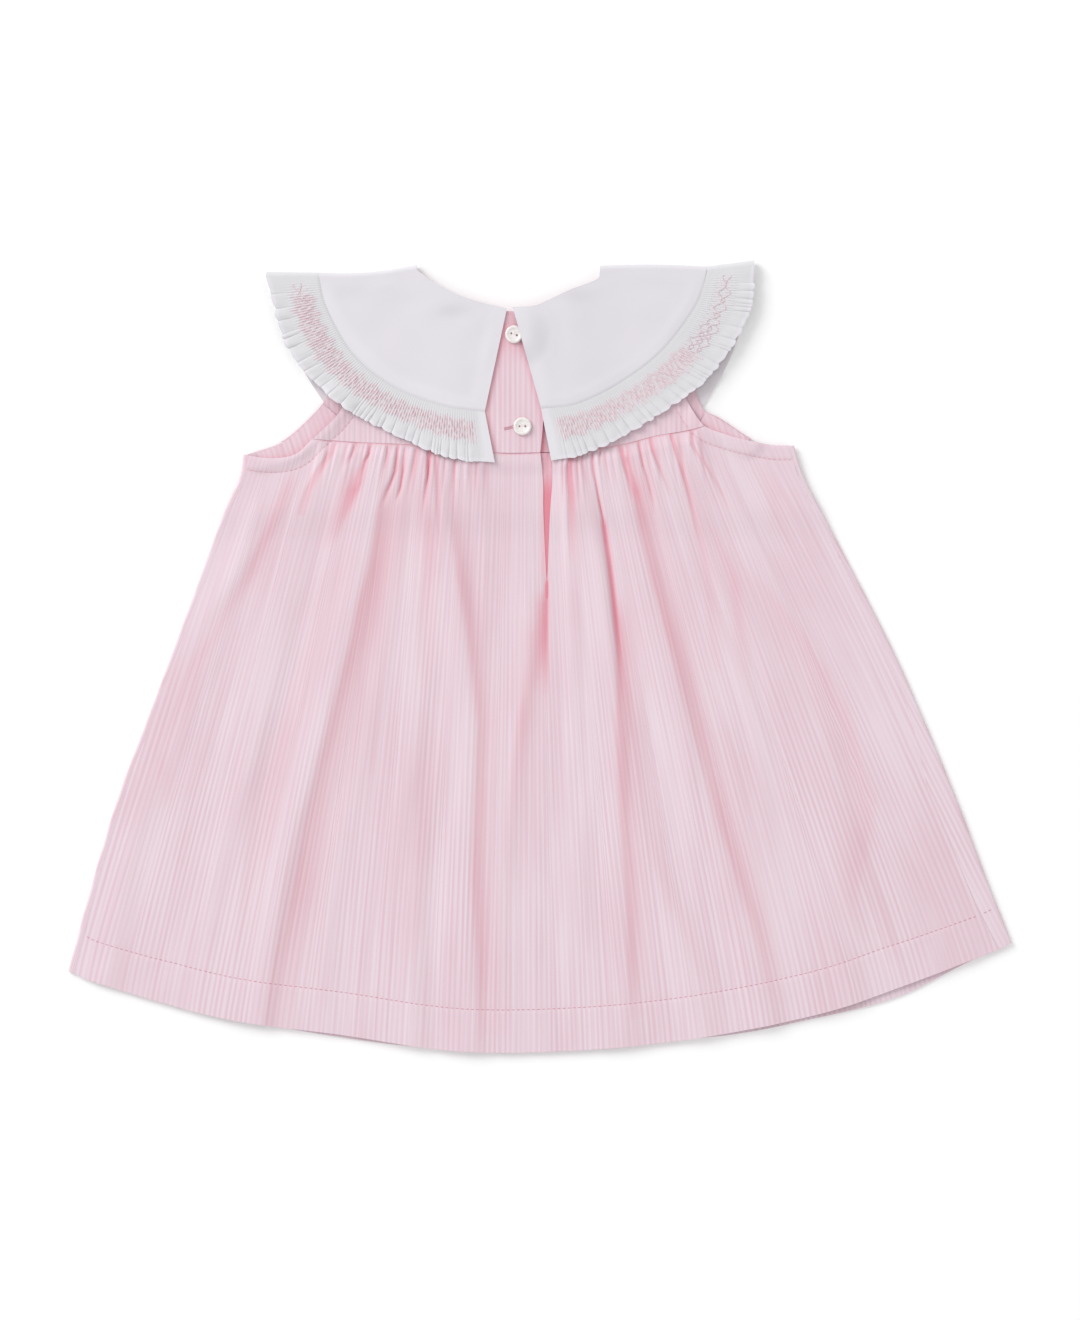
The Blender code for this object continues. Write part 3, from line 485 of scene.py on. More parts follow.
along_facing = np.linspace(0.0, 1.0, 24)
FACING_LINES = np.vstack([facing_place(rows, along_facing, 0.5) for rows in (FACING_LEFT, FACING_RIGHT)])
for hand, rows, flat, area in (
    ("left", FACING_LEFT, (0.048, 0.012), 0.00048), ("right", FACING_RIGHT, (0.029, 0.010), 0.00018),
):
    facing = lay_cloth(
        f"facing_{hand}", f"armhole_facing_{hand}", lines((1.0, 48)), lines((1.0, 8)),
        # painted shade over the facing, deepening towards its inner edge beside the back's armhole edge
        lambda u, v, side, rows=rows: (
            facing_place(rows, u, v), BACK_MID + 0.12 * np.sin(math.pi * v), 0.10 + 0.30 * v ** 3),
        lambda u, v, place: (0.9 * place[:, 0] + 0.3 * place[:, 1], FULL_STRIPE + v * 6.0), pink_stripe,
    )


# ================================================================ strip behind the slit
# A straight strip of the skirt's cotton is sewn behind the slit, so that no skin shows where it opens.
UNDERLAP_X, UNDERLAP_Y = (-33.0, 10.0), (107.8, 31.0)


def underlap_surface(u, v, side):
    place = np.stack([np.interp(u, (0, 1), UNDERLAP_X), np.interp(v, (0, 1), UNDERLAP_Y)], axis=-1)
    # painted shade over the strip in the slit, deeper lower down
    return place, FRONT_MID + yoke_step(place[:, 1]), 0.40 + 0.55 * rise(100.0, 84.0, place[:, 1])


underlap = lay_cloth("slit_strip", "slit_underlap", lines((1.0, 24)), lines((1.0, 40)), underlap_surface,
                     straight_threads, pink_stripe)


# ================================================================ back of the skirt
# The back panel is gathered into the yoke seam and falls in long folds. It has a short slit below the yoke
# and a hem turned up by about 23 mm and stitched.
ARMHOLE_BACK_LEFT = [(-157.1, 106.8), (-147.3, 105.2), (-136.5, 105.2), (-128.0, 107.9), (-120.3, 115.3),
                     (-107.1, 128.3), (-101.8, 139.0), (-100.2, 150.0), (-101.2, 173.0), (-104.0, 199.6)]
ARMHOLE_BACK_RIGHT = [(134.6, 111.6), (123.0, 111.9), (107.6, 114.9), (98.6, 117.4), (87.1, 122.2),
                      (79.2, 133.3), (75.3, 143.0), (74.0, 162.0), (75.0, 189.0), (76.3, 203.4)]
YOKE_SEAM_LEFT = [(-120.3, 115.3), (-98.6, 113.7), (-65.7, 112.1), (-23.9, 108.1), (3.3, 108.2)]
YOKE_SEAM_RIGHT = [(3.3, 108.2), (20.0, 109.3), (44.0, 112.6), (60.9, 116.9), (76.3, 119.5), (87.1, 122.2)]
HEM_BACK = [(-246.7, -167.9), (-233.2, -173.6), (-169.6, -191.6), (-106.0, -200.6), (-42.4, -209.4),
            (21.2, -208.8), (84.8, -202.2), (148.4, -189.5), (194.5, -174.1), (243.1, -155.4)]
LEFT_GATHERS_START, SLIT_AT, RIGHT_GATHERS_END = 0.104, 0.5, 0.89
SLIT_END, SLIT_OPENING, SLIT_PULL = 0.235, 6.2, 1.1  # share down, width at the top, shift to the right
SKIRT_LENGTH = 300.0
LAP_START_X = -36.0
STATIONS_Y = (105.0, 80.0, 50.0, 10.0, -40.0, -90.0, -140.0, -205.0)
FOLDS = [  # left width, right width, then at each station the foot of the right side and the height
    (14.0, 7.0, (-125, -132.5, -151, -178.5, -201.5, -210.5, -218, -229), (0, .7, 1.1, 1.1, .9, .6, .3, .2)),
    (14.0, 8.0, (-115, -118.5, -124, -133.5, -143.5, -149.5, -154, -160), (.1, .3, .7, .8, 1, .9, .8, .7)),
    (15.0, 6, (-78, -82.5, -88, -96.5, -109.5, -123.5, -134, -144), (.2, 1.2, 1.9, 2.2, 2.3, 2.1, 1.9, 1.7)),
    (12.0, 8.0, (-61, -59.5, -58, -58.5, -58.5, -59.5, -59, -60), (0, 0, .2, .4, .8, 1, 1, .9)),
    (14.0, 5.5, (-51, -46.5, -41, -34.5, -30.5, -32.5, -32, -30), (.2, 1.2, 1.8, 1.8, 1.7, 1.5, 1.4, 1.3)),
    (12.0, 5.0, (1, 2.5, 3, .5, -7.5, -13.5, -18, -22), (0, 0, .1, .8, .9, .6, .3, .2)),
    (5.0, 9.0, (23, 24.5, 25, 26.5, 27.5, 27.5, 28, 28), (0, .7, .9, 1, .7, .3, .2, .1)),
    (12.0, 6.5, (24, 30.5, 37, 42, 47, 49, 51, 50), (.2, 1.5, 2.4, 2.5, 1.6, 1.3, 1.1, .9)),
    (15.0, 6.0, (45, 52.5, 60, 70.5, 84.5, 98.5, 116, 130), (.2, 1.2, 1.7, 1.8, 1.9, 1.8, 1.7, 1.4)),
    (12.0, 8.0, (47, 48.5, 51, 52.5, 55.5, 59.5, 80, 98), (0, 0, 0, 0, .4, .9, 1.1, 1)),
    (12.0, 6.0, (68, 75.5, 85, 103.5, 123.5, 135.5, 146, 156), (.2, .8, 1, .9, .6, .3, .2, .1)),
    (18.0, 10.0, (97, 103.5, 113, 129.5, 155.5, 170.5, 172, 174), (0, .3, .7, 1, 1.1, 1.2, 1, .8)),
]
FOLD_OVERLAP = 0.35
CREASES = [  # depth, width on the left, width on the right, then x, y and strength down the crease, which also sets its painted shade
    # gathers left of the slit
    (0.9, 1.5, 3.0, [(-108.8, 114, .3), (-112, 107, .5), (-118.5, 97, .45), (-123, 88, .4), (-127, 77, .2)]),
    (1.1, 1.0, 1.6, [(-98, 113, .6), (-99, 109, .6), (-100.7, 105.5, .5), (-103, 100, 0)]),
    (1.3, 0.9, 1.5, [(-90.4, 112, .6), (-91.2, 107, .9), (-92.8, 104, .9), (-94.2, 99, .8), (-96.4, 89, 0)]),
    (0.5, 6.0, 2.4, [(-93.5, 102, 0), (-95.5, 94, .55), (-97.6, 88, .85), (-101, 80, .6), (-105.5, 71, .35),
                     (-111, 56, 0)]),
    (0.9, 0.8, 1.2, [(-81.4, 112, .5), (-81, 107, .5), (-81.6, 101, .2)]),
    (1.2, 0.9, 1.8, [(-75.8, 111, .5), (-76.3, 105, .7), (-77, 98, .8), (-80.8, 89, .7), (-84.5, 78, 0)]),
    (1.2, 0.9, 1.3, [(-71.5, 111, .2), (-72.2, 103, .6), (-72.7, 98, 1.0), (-74.2, 89, .9), (-76.6, 81, 0)]),
    (0.8, 1.0, 1.6, [(-64.7, 111, .4), (-65.7, 105, .5), (-66.8, 98, .4), (-67.8, 84, 0)]),
    (1.3, 0.8, 1.6, [(-59.3, 111, .8), (-59.6, 103, 1.0), (-59.7, 96, .9), (-60.5, 90, .6), (-62, 76, .1)]),
    (1.0, 1.0, 1.6, [(-56.3, 109, .6), (-55.2, 103, .5), (-54.6, 93, .5), (-54.2, 80, .4), (-53.6, 58, .1)]),
    (0.8, 0.8, 1.4, [(-45.2, 108, .3), (-45.8, 101, .45), (-47, 86, .1)]),
    (0.5, 0.8, 1.4, [(-37, 108, .3), (-37.4, 98, .3), (-38, 86, 0)]),
    (0.4, 0.8, 1.4, [(-28.5, 107, .2), (-28.7, 98, .25), (-29, 84, 0)]),
    # gathers right of the slit
    (0.9, 1.5, 3.0, [(16.4, 108, .8), (14.9, 100, .85), (15.2, 93, .85), (16, 85, .75), (16.2, 67, .35),
                     (17, 48, 0)]),
    (0.9, 0.7, 1.3, [(21.5, 110, .6), (22.2, 102, .5), (23.2, 98, .4), (24.8, 88, 0)]),
    (1.0, 0.9, 1.1, [(27.8, 111, .4), (27.2, 103, .5), (28.1, 97, .5), (29.6, 92, .5), (31.8, 80, 1.0),
                     (33.4, 72, 1.0), (34.6, 62, .5)]),
    (1.0, 1.7, 1.9, [(33.0, 75, 0), (33.9, 69, .9), (36.4, 51, 1.0), (38.6, 33, 1.0), (40.2, 18, .95),
                     (41.4, 6, .75), (42.8, -10, .4), (43.6, -30, 0)]),
    (0.9, 0.7, 1.0, [(31.8, 111, .7), (31.5, 106, .6), (31.9, 100, 0)]),
    (1.1, 1.0, 1.9, [(41.3, 112, .7), (42.9, 107, .7), (44.6, 100, .6), (47.1, 93, .4), (49.2, 85, .2)]),
    (1.0, 0.9, 1.4, [(46.1, 112, .3), (46.7, 104, .8), (48.3, 97, .6), (50.4, 91, .4), (53, 78, 0)]),
    (1.0, 0.8, 1.4, [(51.9, 114, .7), (53, 108, .8), (54.4, 101, .7), (56.3, 96, .55), (58.3, 88, .6),
                     (61.5, 74, 0)]),
    (1.1, 0.8, 1.6, [(58.2, 115, .8), (59.5, 109, .9), (61.2, 104, .6), (63.8, 98, .4), (70, 83, 0)]),
    (1.0, 0.8, 1.8, [(69, 118, .8), (71, 111, .7), (73, 104, .5), (75, 98, .6), (77.8, 89, .55),
                     (83.2, 66, .35), (90.6, 40, .15), (97, 20, 0)]),
    (0.7, 0.8, 1.5, [(80, 120, .4), (80.1, 112, .4), (84.4, 106, .3), (90, 98, .3), (95.5, 88, .3),
                     (101, 76, 0)]),
    (0.6, 1.8, 3.0, [(46, 100, 0), (48.4, 94, .4), (50.4, 88, .6), (53.4, 74, .3), (55.5, 64, 0)]),
    (0.0, 5.0, 5.0, [(119, 102, 0), (124.5, 88, .15), (127, 74, .08), (130, 58, 0)]),
    # feet of the long folds: no depth, only painted shade
    (0.0, 2.5, 5.0, [(-130, 100, 0), (-135, 88, .26), (-144, 67, .28), (-156, 41, .28), (-166, 24, .20),
                     (-172, 12, .18), (-184, -3, .16), (-192, -19, .14), (-203, -49, .14), (-201, -61, .14),
                     (-196, -85, 0)]),
    (0.0, 5.0, 6.0, [(-106, 60, 0), (-108, 42, .08), (-117, 12, .10), (-130, -27, .10), (-139, -58, .10),
                     (-147, -97, .10), (-153, -120, .08), (-160, -160, 0)]),
    (0.0, 1.6, 14.0, [(-82, 92, 0), (-85, 78, .32), (-87, 62, .38), (-90.5, 44, .38), (-95.5, 26, .36),
                      (-99.5, 6, .32), (-105.5, -16, .28), (-111, -36, .28), (-116, -58, .26),
                      (-122, -86, .26), (-130, -123, .24), (-139, -158, .18), (-146, -200, .06)]),
    (0.0, 6.0, 2.6, [(-62, 86, .1), (-58, 70, .26), (-57, 50, .22), (-58, 30, .18), (-58, 10, .14),
                     (-60, -20, 0)]),
    (0.0, 1.6, 8.0, [(-46.5, 92, .08), (-45.5, 66, .20), (-43, 42, .24), (-40, 26, .24), (-37.4, 8, .24),
                     (-34, -14, .26), (-31.5, -36, .30), (-33, -76, .30), (-35, -118, .30),
                     (-31.5, -160, .28), (-31, -200, .10)]),
    (0.5, 1.7, 0.7, [(4.1, 44, 0), (4.0, 38, 1.0), (3.9, 30, .9), (3.9, 22, .65), (3.8, 12, .4), (4.0, 0, .2),
                     (4.2, -12, 0)]),
    (0.0, 3.0, 1.0, [(1.4, 100, 0), (2.0, 80, .18), (2.6, 62, .30), (3.4, 46, .40), (3.8, 39, .1),
                     (3.8, 34, 0)]),
    (0.0, 5.0, 1.0, [(3.8, 36, 0), (3.8, 28, .80), (3.6, 18, .88), (3.6, 8, .80), (3.6, -6, .52),
                     (3.6, -20, .16), (3.6, -30, 0)]),
    (0.0, 8.5, 2.2, [(1.0, 24, 0), (1.0, 12, .34), (0.5, 0, .36), (-3, -14, .26), (-6, -28, .1),
                     (-8, -40, 0)]),
    (0.0, 2.0, 7.5, [(-5, 2, 0), (-8, -16, .16), (-10.2, -32, .30), (-12.8, -52, .22), (-17, -86, .10),
                     (-22, -130, 0)]),
    (0.0, 1.4, 8.0, [(38.5, 34, 0), (39.6, 20, .36), (41, 4, .42), (41.6, -19, .42), (41.8, -36, .36),
                     (42.4, -62, .32), (43.2, -86, .30), (45.6, -112, .26), (46.6, -136, .26),
                     (47.4, -162, .26), (48, -190, .08)]),
    (0.0, 1.8, 8.5, [(46, 104, .1), (50, 88, .44), (54, 68, .36), (58.2, 51, .30), (61.7, 36, .32),
                     (69, 10, .38), (75, -11, .30), (80.6, -33, .28), (88.5, -62, .26), (96.5, -90, .26),
                     (105.5, -116, .26), (112, -138, .24), (118, -162, .20), (122, -182, .06)]),
    (0.0, 1.6, 5.0, [(74, 100, .1), (77.5, 88, .20), (83, 66, .20), (88, 44, .14), (91, 10, .14),
                     (95, -14, 0)]),
    (0.0, 3.0, 4.0, [(90, 72, 0), (98, 56, .14), (103.2, 41, .28), (106, 10, .16), (112, -22, 0)]),
    (0.0, 10.0, 1.8, [(104, 52, 0), (122, 33, .12), (139, 12, .18), (150, -7, .18), (162, -30, .18),
                      (170, -55, .18), (176, -77, .18), (174, -97, .16), (169, -117, .12), (164, -140, .04)]),
    (0.0, 4.0, 4.0, [(50, -80, 0), (60, -104, .08), (70, -128, .10), (80, -152, .10), (86, -172, 0)]),
    (0.0, 6.0, 6.0, [(-58, -30, 0), (-60, -60, .06), (-62, -100, .08), (-66, -140, .08), (-72, -165, 0)]),
]
HEM_STITCH = 0.9285  # share down the skirt where the hem is stitched
ARMHOLE_TURNED = 7.3  # from the armhole's edge to the stitching of its turning
PUFF_HEIGHT, TUCK_HEIGHT, UNEVEN_HEIGHT, HEM_HEIGHT = 1.4, 0.5, 0.30, 0.22
# strengths of the painted shade along creases, gather tucks, the right sides of folds, the yoke seam and
# stitched grooves
CREASE_SHADE, TUCK_SHADE, FOLD_SHADE, SEAM_SHADE, GROOVE_SHADE = 0.75, 0.5, 0.18, 0.55, 0.10
GROOVE_DEPTH = 0.14  # of a row of stitches

seam_left, seam_right = path(YOKE_SEAM_LEFT), path(YOKE_SEAM_RIGHT)
ARMHOLE_LINES = np.vstack([
    path(rows)(np.linspace(0.0, 1.0, 120)) for rows in (ARMHOLE_BACK_LEFT, ARMHOLE_BACK_RIGHT)
])
skirt_armhole_left, yoke_armhole_left = split_armhole(ARMHOLE_BACK_LEFT, YOKE_SEAM_LEFT[0])
skirt_armhole_right, yoke_armhole_right = split_armhole(ARMHOLE_BACK_RIGHT, YOKE_SEAM_RIGHT[-1])


def back_side(column):
    return lambda v: inside_outline(v, column, seam_inset(v, column) + SEAM_GAP / 2)


back_side_left, back_side_right = back_side(1), back_side(2)
armhole_start = share_near(skirt_armhole_left, back_side_left(0.0))
armhole_end = share_near(skirt_armhole_right, back_side_right(0.0))
back_top = chain(
    (LEFT_GATHERS_START, stretch(skirt_armhole_left, armhole_start, 1.0)),
    (SLIT_AT, moved(seam_left, y=-SEAM_GAP / 2)),
    (RIGHT_GATHERS_END, moved(seam_right, y=-SEAM_GAP / 2)),
    (1.0, stretch(skirt_armhole_right, 1.0, armhole_end)),
)
back_panel = patch(back_top, path(HEM_BACK), back_side_left, back_side_right)


def fall(low, high, value):
    """1 up to low and 0 from high on."""
    return 1.0 - rise(low, high, value)


def plateau(start, full, ending, end, value):
    """1 from full to ending and 0 outside start and end."""
    return rise(start, full, value) * fall(ending, end, value)


def hump(distance, width):
    """1 at a distance of 0, with soft shoulders on both sides."""
    return np.exp(-(distance / width) ** 2)


def distance_to(line, place):
    """How far places lie from the nearest point of a line."""
    return np.linalg.norm(place[:, None, :] - line[None], axis=-1).min(axis=1)


def facing_lift(place, reach=4.6, fade=6.0):
    """How far cloth rises where it lies over a facing."""
    return LAYER * fall(reach, reach + fade, distance_to(FACING_LINES, place))


def lap_lift(x, start, end, fade=10.0):
    """How far cloth rises over the lapped centre back, between two ramps."""
    return LAYER * plateau(start - fade, start, end, end + fade, x)


def fold_heights(x, y):
    """Height of the long folds."""
    stations = STATIONS_Y[::-1]
    total = np.zeros(len(x))
    for left_width, right_width, places, heights in FOLDS:
        foot = np.interp(y, stations, places[::-1])
        peak = np.interp(y, stations, heights[::-1])
        away = x - (foot - right_width)
        height = peak * hump(away, np.where(away < 0, left_width, right_width))
        total = np.maximum(total, height) + FOLD_OVERLAP * np.minimum(total, height)
    return total


def creases(x, y):
    """How deep the creases lie, and how much painted shade lies along them."""
    depth, colour = np.zeros((2, len(x)))
    for cut, left_width, right_width, points in CREASES:
        near = (y < points[0][1] + 2.0) & (y > points[-1][1] - 2.0)
        places, levels, strengths = np.array(points)[::-1].T
        away = x[near] - np.interp(y[near], levels, places)
        share = np.abs(away / np.where(away < 0, left_width, right_width))
        steepness = 3.0 if left_width + right_width < 5.0 else 2.0
        shape = np.interp(y[near], levels, strengths) * np.exp(-share ** steepness)
        depth[near] = np.maximum(depth[near], cut * shape)
        colour[near] = np.maximum(colour[near], shape) + 0.35 * np.minimum(colour[near], shape)
    return depth, colour


def armhole_turning(place):
    """How high the turned-in armhole edge stands, and how deep its stitched groove lies."""
    away = distance_to(ARMHOLE_LINES, place)
    return 0.16 * fall(ARMHOLE_TURNED - 0.8, ARMHOLE_TURNED, away), hump(away - ARMHOLE_TURNED, 0.7)


def ripples(u, v, waves, seed):
    """Soft unevenness of lying cloth, about -1 to 1."""
    random = np.random.default_rng(seed)
    total = np.zeros(len(u))
    for across in waves:
        phase, sway, turns = random.uniform(0.0, math.tau, 2).tolist() + [random.uniform(0.6, 1.6)]
        total += np.sin(math.tau * across * u + phase + 1.1 * np.sin(math.tau * turns * v + sway))
    return total / len(waves)


GATHER_RUNS = [  # where a thread starts at the top, its place across the cloth, how soon it turns straight
    (-157.0, -200.0, 1.0), (-120.3, -163.0, 1.3), (-98.0, -134.0, 2.2), (-79.0, -106.0, 3.0),
    (-60.0, -78.0, 3.0), (-45.0, -52.0, 2.0), (-24.0, -28.0, 1.0), (9.0, 9.0, 1.0), (23.0, 34.0, 3.5),
    (44.0, 62.0, 3.5), (67.0, 86.0, 3.0), (87.0, 108.0, 1.6), (134.6, 156.0, 1.0),
]


def row_by_row(at, v, x):
    """Values at places: at(level, x) gives those of a row that lies a share down."""
    values = np.empty(len(v))
    for level in np.unique(v):
        values[v == level] = at(level, x[v == level])
    return values


def gathered_row(level, x):
    """How far across the cloth a place lies, drawn together by the gathers and evenly spread at the hem."""
    starts, across, turning = np.array(GATHER_RUNS).T
    threads = across + (starts - across) * (1.0 - level) ** turning
    return np.interp(x, threads, across) + (x - np.clip(x, threads[0], threads[-1]))


STRIPE_RUNS = [  # a stripe's place at the top and at the hem; its neighbours run beside it as far as a fold
    (-150.0, -236.0), (-134.0, -210.0), (-108.0, -178.0), (-86.0, -144.0), (-72.0, -104.0), (-53.0, -76.0),
    (-30.0, -41.0), (-8.0, -9.0), (8.0, 23.0), (22.0, 62.0), (40.0, 106.0), (62.0, 148.0), (82.0, 190.0),
    (106.0, 230.0), (134.0, 255.0),
]
STRIPE_TURNING = 1.1  # how soon a stripe turns straight on its way down


def striped_row(level, x):
    """Where the stripe at a place meets the hem. Stripes fan out, and folds hide the cloth between them."""
    tops, hems = np.array(STRIPE_RUNS).T
    runs = hems - tops
    places = tops + runs * level
    folds = np.repeat((places[1:] + places[:-1]) / 2, 2) + np.tile([-1.0, 1.0], len(runs) - 1)
    sideways = 0.5 * np.interp(x, folds, np.repeat(runs, 2)[1:-1]) + 0.5 * np.interp(x, places, runs)
    return x + sideways * (1.0 - level) ** STRIPE_TURNING


def back_skirt_surface(u, v, side):
    """The back lies on the front, over the strip and the facings, with the slit pulled open."""
    place = back_panel(u, v)
    hand = np.where((side != 0) & (np.abs(u - SLIT_AT) < 1e-6), side, np.sign(u - SLIT_AT))
    opening = SLIT_OPENING / 2 * capped(1.0 - v / SLIT_END)
    sideways = SLIT_PULL * plateau(0.0, 0.08, 0.20, 0.40, v)
    place[:, 0] += (hand * opening + sideways) * hump(u - SLIT_AT, 0.04)
    x, y = place.T
    down = v * SKIRT_LENGTH
    from_seam = np.minimum(x - side_left(v)[:, 0], side_right(v)[:, 0] - x - seam_inset(v, 2))
    calm = rise(2.0, 16.0, from_seam)
    plain = plateau(-34.0, -25.0, 8.0, 13.0, x)
    gathered = plateau(
        LEFT_GATHERS_START, LEFT_GATHERS_START + 0.02, RIGHT_GATHERS_END - 0.03, RIGHT_GATHERS_END, u,
    )
    puffed = plateau(0.3, 7.0, 14.0, 44.0, down) * gathered * PUFF_HEIGHT
    weft = row_by_row(gathered_row, v, x) / 10.0
    tucks = ripples(weft, v, (0.9, 1.5, 2.3), 8)
    reach = 30.0 + 16.0 * ripples(weft, 0.0 * v, (0.37, 0.63, 1.1), 9)
    near_seam = rise(0.3, 3.0, down) * fall(0.25, 1.0, down / reach) * gathered * (1.0 - 0.9 * plain)

    depth, colour = creases(x, y)
    depth *= rise(0.0, 3.0, down)
    height = fold_heights(x, y) + puffed * (1.0 - 0.7 * plain) + TUCK_HEIGHT * near_seam * tucks - depth
    height += UNEVEN_HEIGHT * (1.0 + ripples(u, v, (9, 14, 21, 30), 3)) * rise(0.03, 0.15, v)
    pucker = np.sin(math.tau * (150.0 * u + 12.0 * v)) * (0.5 + 0.5 * ripples(u, v, (17, 26), 5))
    height += rise(HEM_STITCH - 0.004, HEM_STITCH + 0.004, v) * (HEM_HEIGHT + 0.12 * pucker)
    height -= 0.16 * hump(v - HEM_STITCH, 0.003)

    lap = lap_lift(x, LAP_START_X, UNDERLAP_X[1] + 1.0)
    lap *= rise(UNDERLAP_Y[0] - 12.8, UNDERLAP_Y[0] - 2.8, y)
    raised, groove = armhole_turning(place)
    seam = hump(down, 0.9)
    height = calm * height + FRONT_MID + yoke_step(y) + lap + facing_lift(place) + raised
    height -= GROOVE_DEPTH * groove + 0.35 * seam

    # painted shade along the creases and gather tucks, on the right sides of the folds, which face away from
    # the key light, and along the yoke seam and the stitched grooves
    falling = fold_heights(x - 0.75, y) - fold_heights(x + 0.75, y)
    colour = CREASE_SHADE * colour + TUCK_SHADE * near_seam * capped(-tucks - 0.12)
    colour = calm * (colour + FOLD_SHADE * np.clip(falling, 0.0, 1.2))
    colour = np.maximum(colour, SEAM_SHADE * seam * capped(gathered + plain))
    return place, height, capped(colour + GROOVE_SHADE * groove)


def back_threads(u, v, place):
    return row_by_row(striped_row, v, place[:, 0]), v * PANEL_LENGTH


back_skirt = lay_cloth(
    "skirt_back_panel", "back_skirt",
    lines((LEFT_GATHERS_START, 14), (SLIT_AT, 104), (0.64, 52), (RIGHT_GATHERS_END, 64), (1.0, 14)),
    lines((0.05, 18), (0.17, 26), (SLIT_END, 12), (0.905, 60), (0.95, 14), (1.0, 6)),
    back_skirt_surface, back_threads, pink_stripe, slit=(14 + 104, 18 + 26 + 12), fine_rows=18 + 26,
)

STITCH, STITCH_GAP, STITCH_RISE = 1.9, 0.8, 0.08  # length, space between two, height above the cloth


def stitch_ends(points, length=STITCH, gap=STITCH_GAP):
    """Where the stitches of a row along a line of points start and end."""
    lengths = lengths_along(points)
    starts = np.arange(gap, lengths[-1] - length, length + gap)
    return [read_off(at, lengths, points) for at in (starts, starts + length)]


def on_cloth(points, *pieces):
    """Points given by x and y, just above the uppermost of some pieces of cloth."""
    graph = bpy.context.evaluated_depsgraph_get()
    trees = [BVHTree.FromObject(piece, graph) for piece in pieces]
    heights = []
    for x, y in points * MM:
        hits = [tree.ray_cast(Vector((x, y, 0.05)), Vector((0.0, 0.0, -1.0)))[0] for tree in trees]
        heights.append(max((hit.z / MM for hit in hits if hit), default=0.0) + STITCH_RISE)
    return np.column_stack([points, heights])


def sew(name, starts, ends, width, material):
    """One short stitch from each start to its end, all joined into a piece of thread."""
    bpy.ops.mesh.primitive_uv_sphere_add(segments=6, ring_count=4, radius=0.5)
    thread = bpy.context.object
    thread.name = thread.data.name = name
    mesh = thread.data
    shape = np.array([vertex.co for vertex in mesh.vertices])
    faces = [tuple(face.vertices) for face in mesh.polygons]
    along = ends - starts
    side = of_length(np.cross((0.0, 0.0, 1.0), along), width)
    axes = np.stack([side, of_length(np.cross(along, side), width), along], axis=1)
    points = (starts + ends)[:, None] / 2 + np.einsum("vi,nij->nvj", shape, axes)
    stitches = [
        tuple(corner + number * len(shape) for corner in face)
        for number in range(len(starts)) for face in faces
    ]
    mesh.clear_geometry()
    mesh.from_pydata(points.reshape(-1, 3) * MM, [], stitches)
    mesh.polygons.foreach_set("use_smooth", np.ones(len(stitches), dtype=bool))
    mesh.update()
    mesh.materials.append(material)
    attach(thread, "root")
    bpy.ops.object.select_all(action="DESELECT")
    return thread


def thread_shader(name, pale, deep):
    """Twisted cotton thread, a little uneven in colour."""
    material, tree, shader = cotton_shader(name, 0.10)
    place = add_node(tree, "ShaderNodeTexCoord").outputs["Object"]
    colour = mixed(tree, noise(tree, place, (900.0, 900.0)), pale, deep)
    tree.links.new(colour, shader.inputs["Base Color"])
    return material


def sew_on(pieces, name, rows, width, material):
    """Rows of stitches, each given by its starts and its ends, on the uppermost of some pieces of cloth."""
    starts, ends = [on_cloth(np.vstack(points), *pieces) for points in zip(*rows)]
    return sew(name, starts, ends, width, material)


seam_thread = thread_shader("pink sewing thread", (0.66, 0.34, 0.41, 1.0), (0.60, 0.27, 0.34, 1.0))
hem_line = back_panel(np.linspace(0.001, 0.999, 1500), np.full(1500, HEM_STITCH))
strip_line = inside_outline(np.full(20, HEM_STITCH), 2, np.linspace(seam_inset(HEM_STITCH, 2) - 0.6, 1.4, 20))
hem_thread = sew_on(
    (back_skirt, front_skirt), "hem_stitching", [stitch_ends(line) for line in (hem_line, strip_line)],
    width=0.36, material=seam_thread,
)


# ================================================================ back yoke and neck band
# Two yoke halves of the same cotton lap at the centre back, the left one on top. A bias strip binds the
# back neck and shows between the collar halves.
YOKE_NECK_LEFT = [(1.2, 183.8), (-17.5, 182.9), (-34.5, 187.2), (-46.1, 191.3), (-56.2, 196.4),
                  (-63.4, 201.0)]
YOKE_NECK_RIGHT = [(-33.0, 186.6), (-17.5, 182.7), (-3.7, 184.3), (6.0, 188.2), (27.5, 197.6), (31.4, 200.8)]
SHOULDER_LEFT = [(-104.0, 199.6), (-80.0, 201.0)]
PLACKET_EDGE = [(1.2, 176.4), (1.8, 131.3), (0.5, 111.6), (-0.1, 108.4)]
NECK_BAND_WIDTH = 7.0
PLACKET_WIDTH = 21.0
SHOULDER_END, UNDER_NECK_END = 0.32, 0.60  # shares of the halves' top edges: left shoulder, right neck
PULL_HEIGHT = 0.132

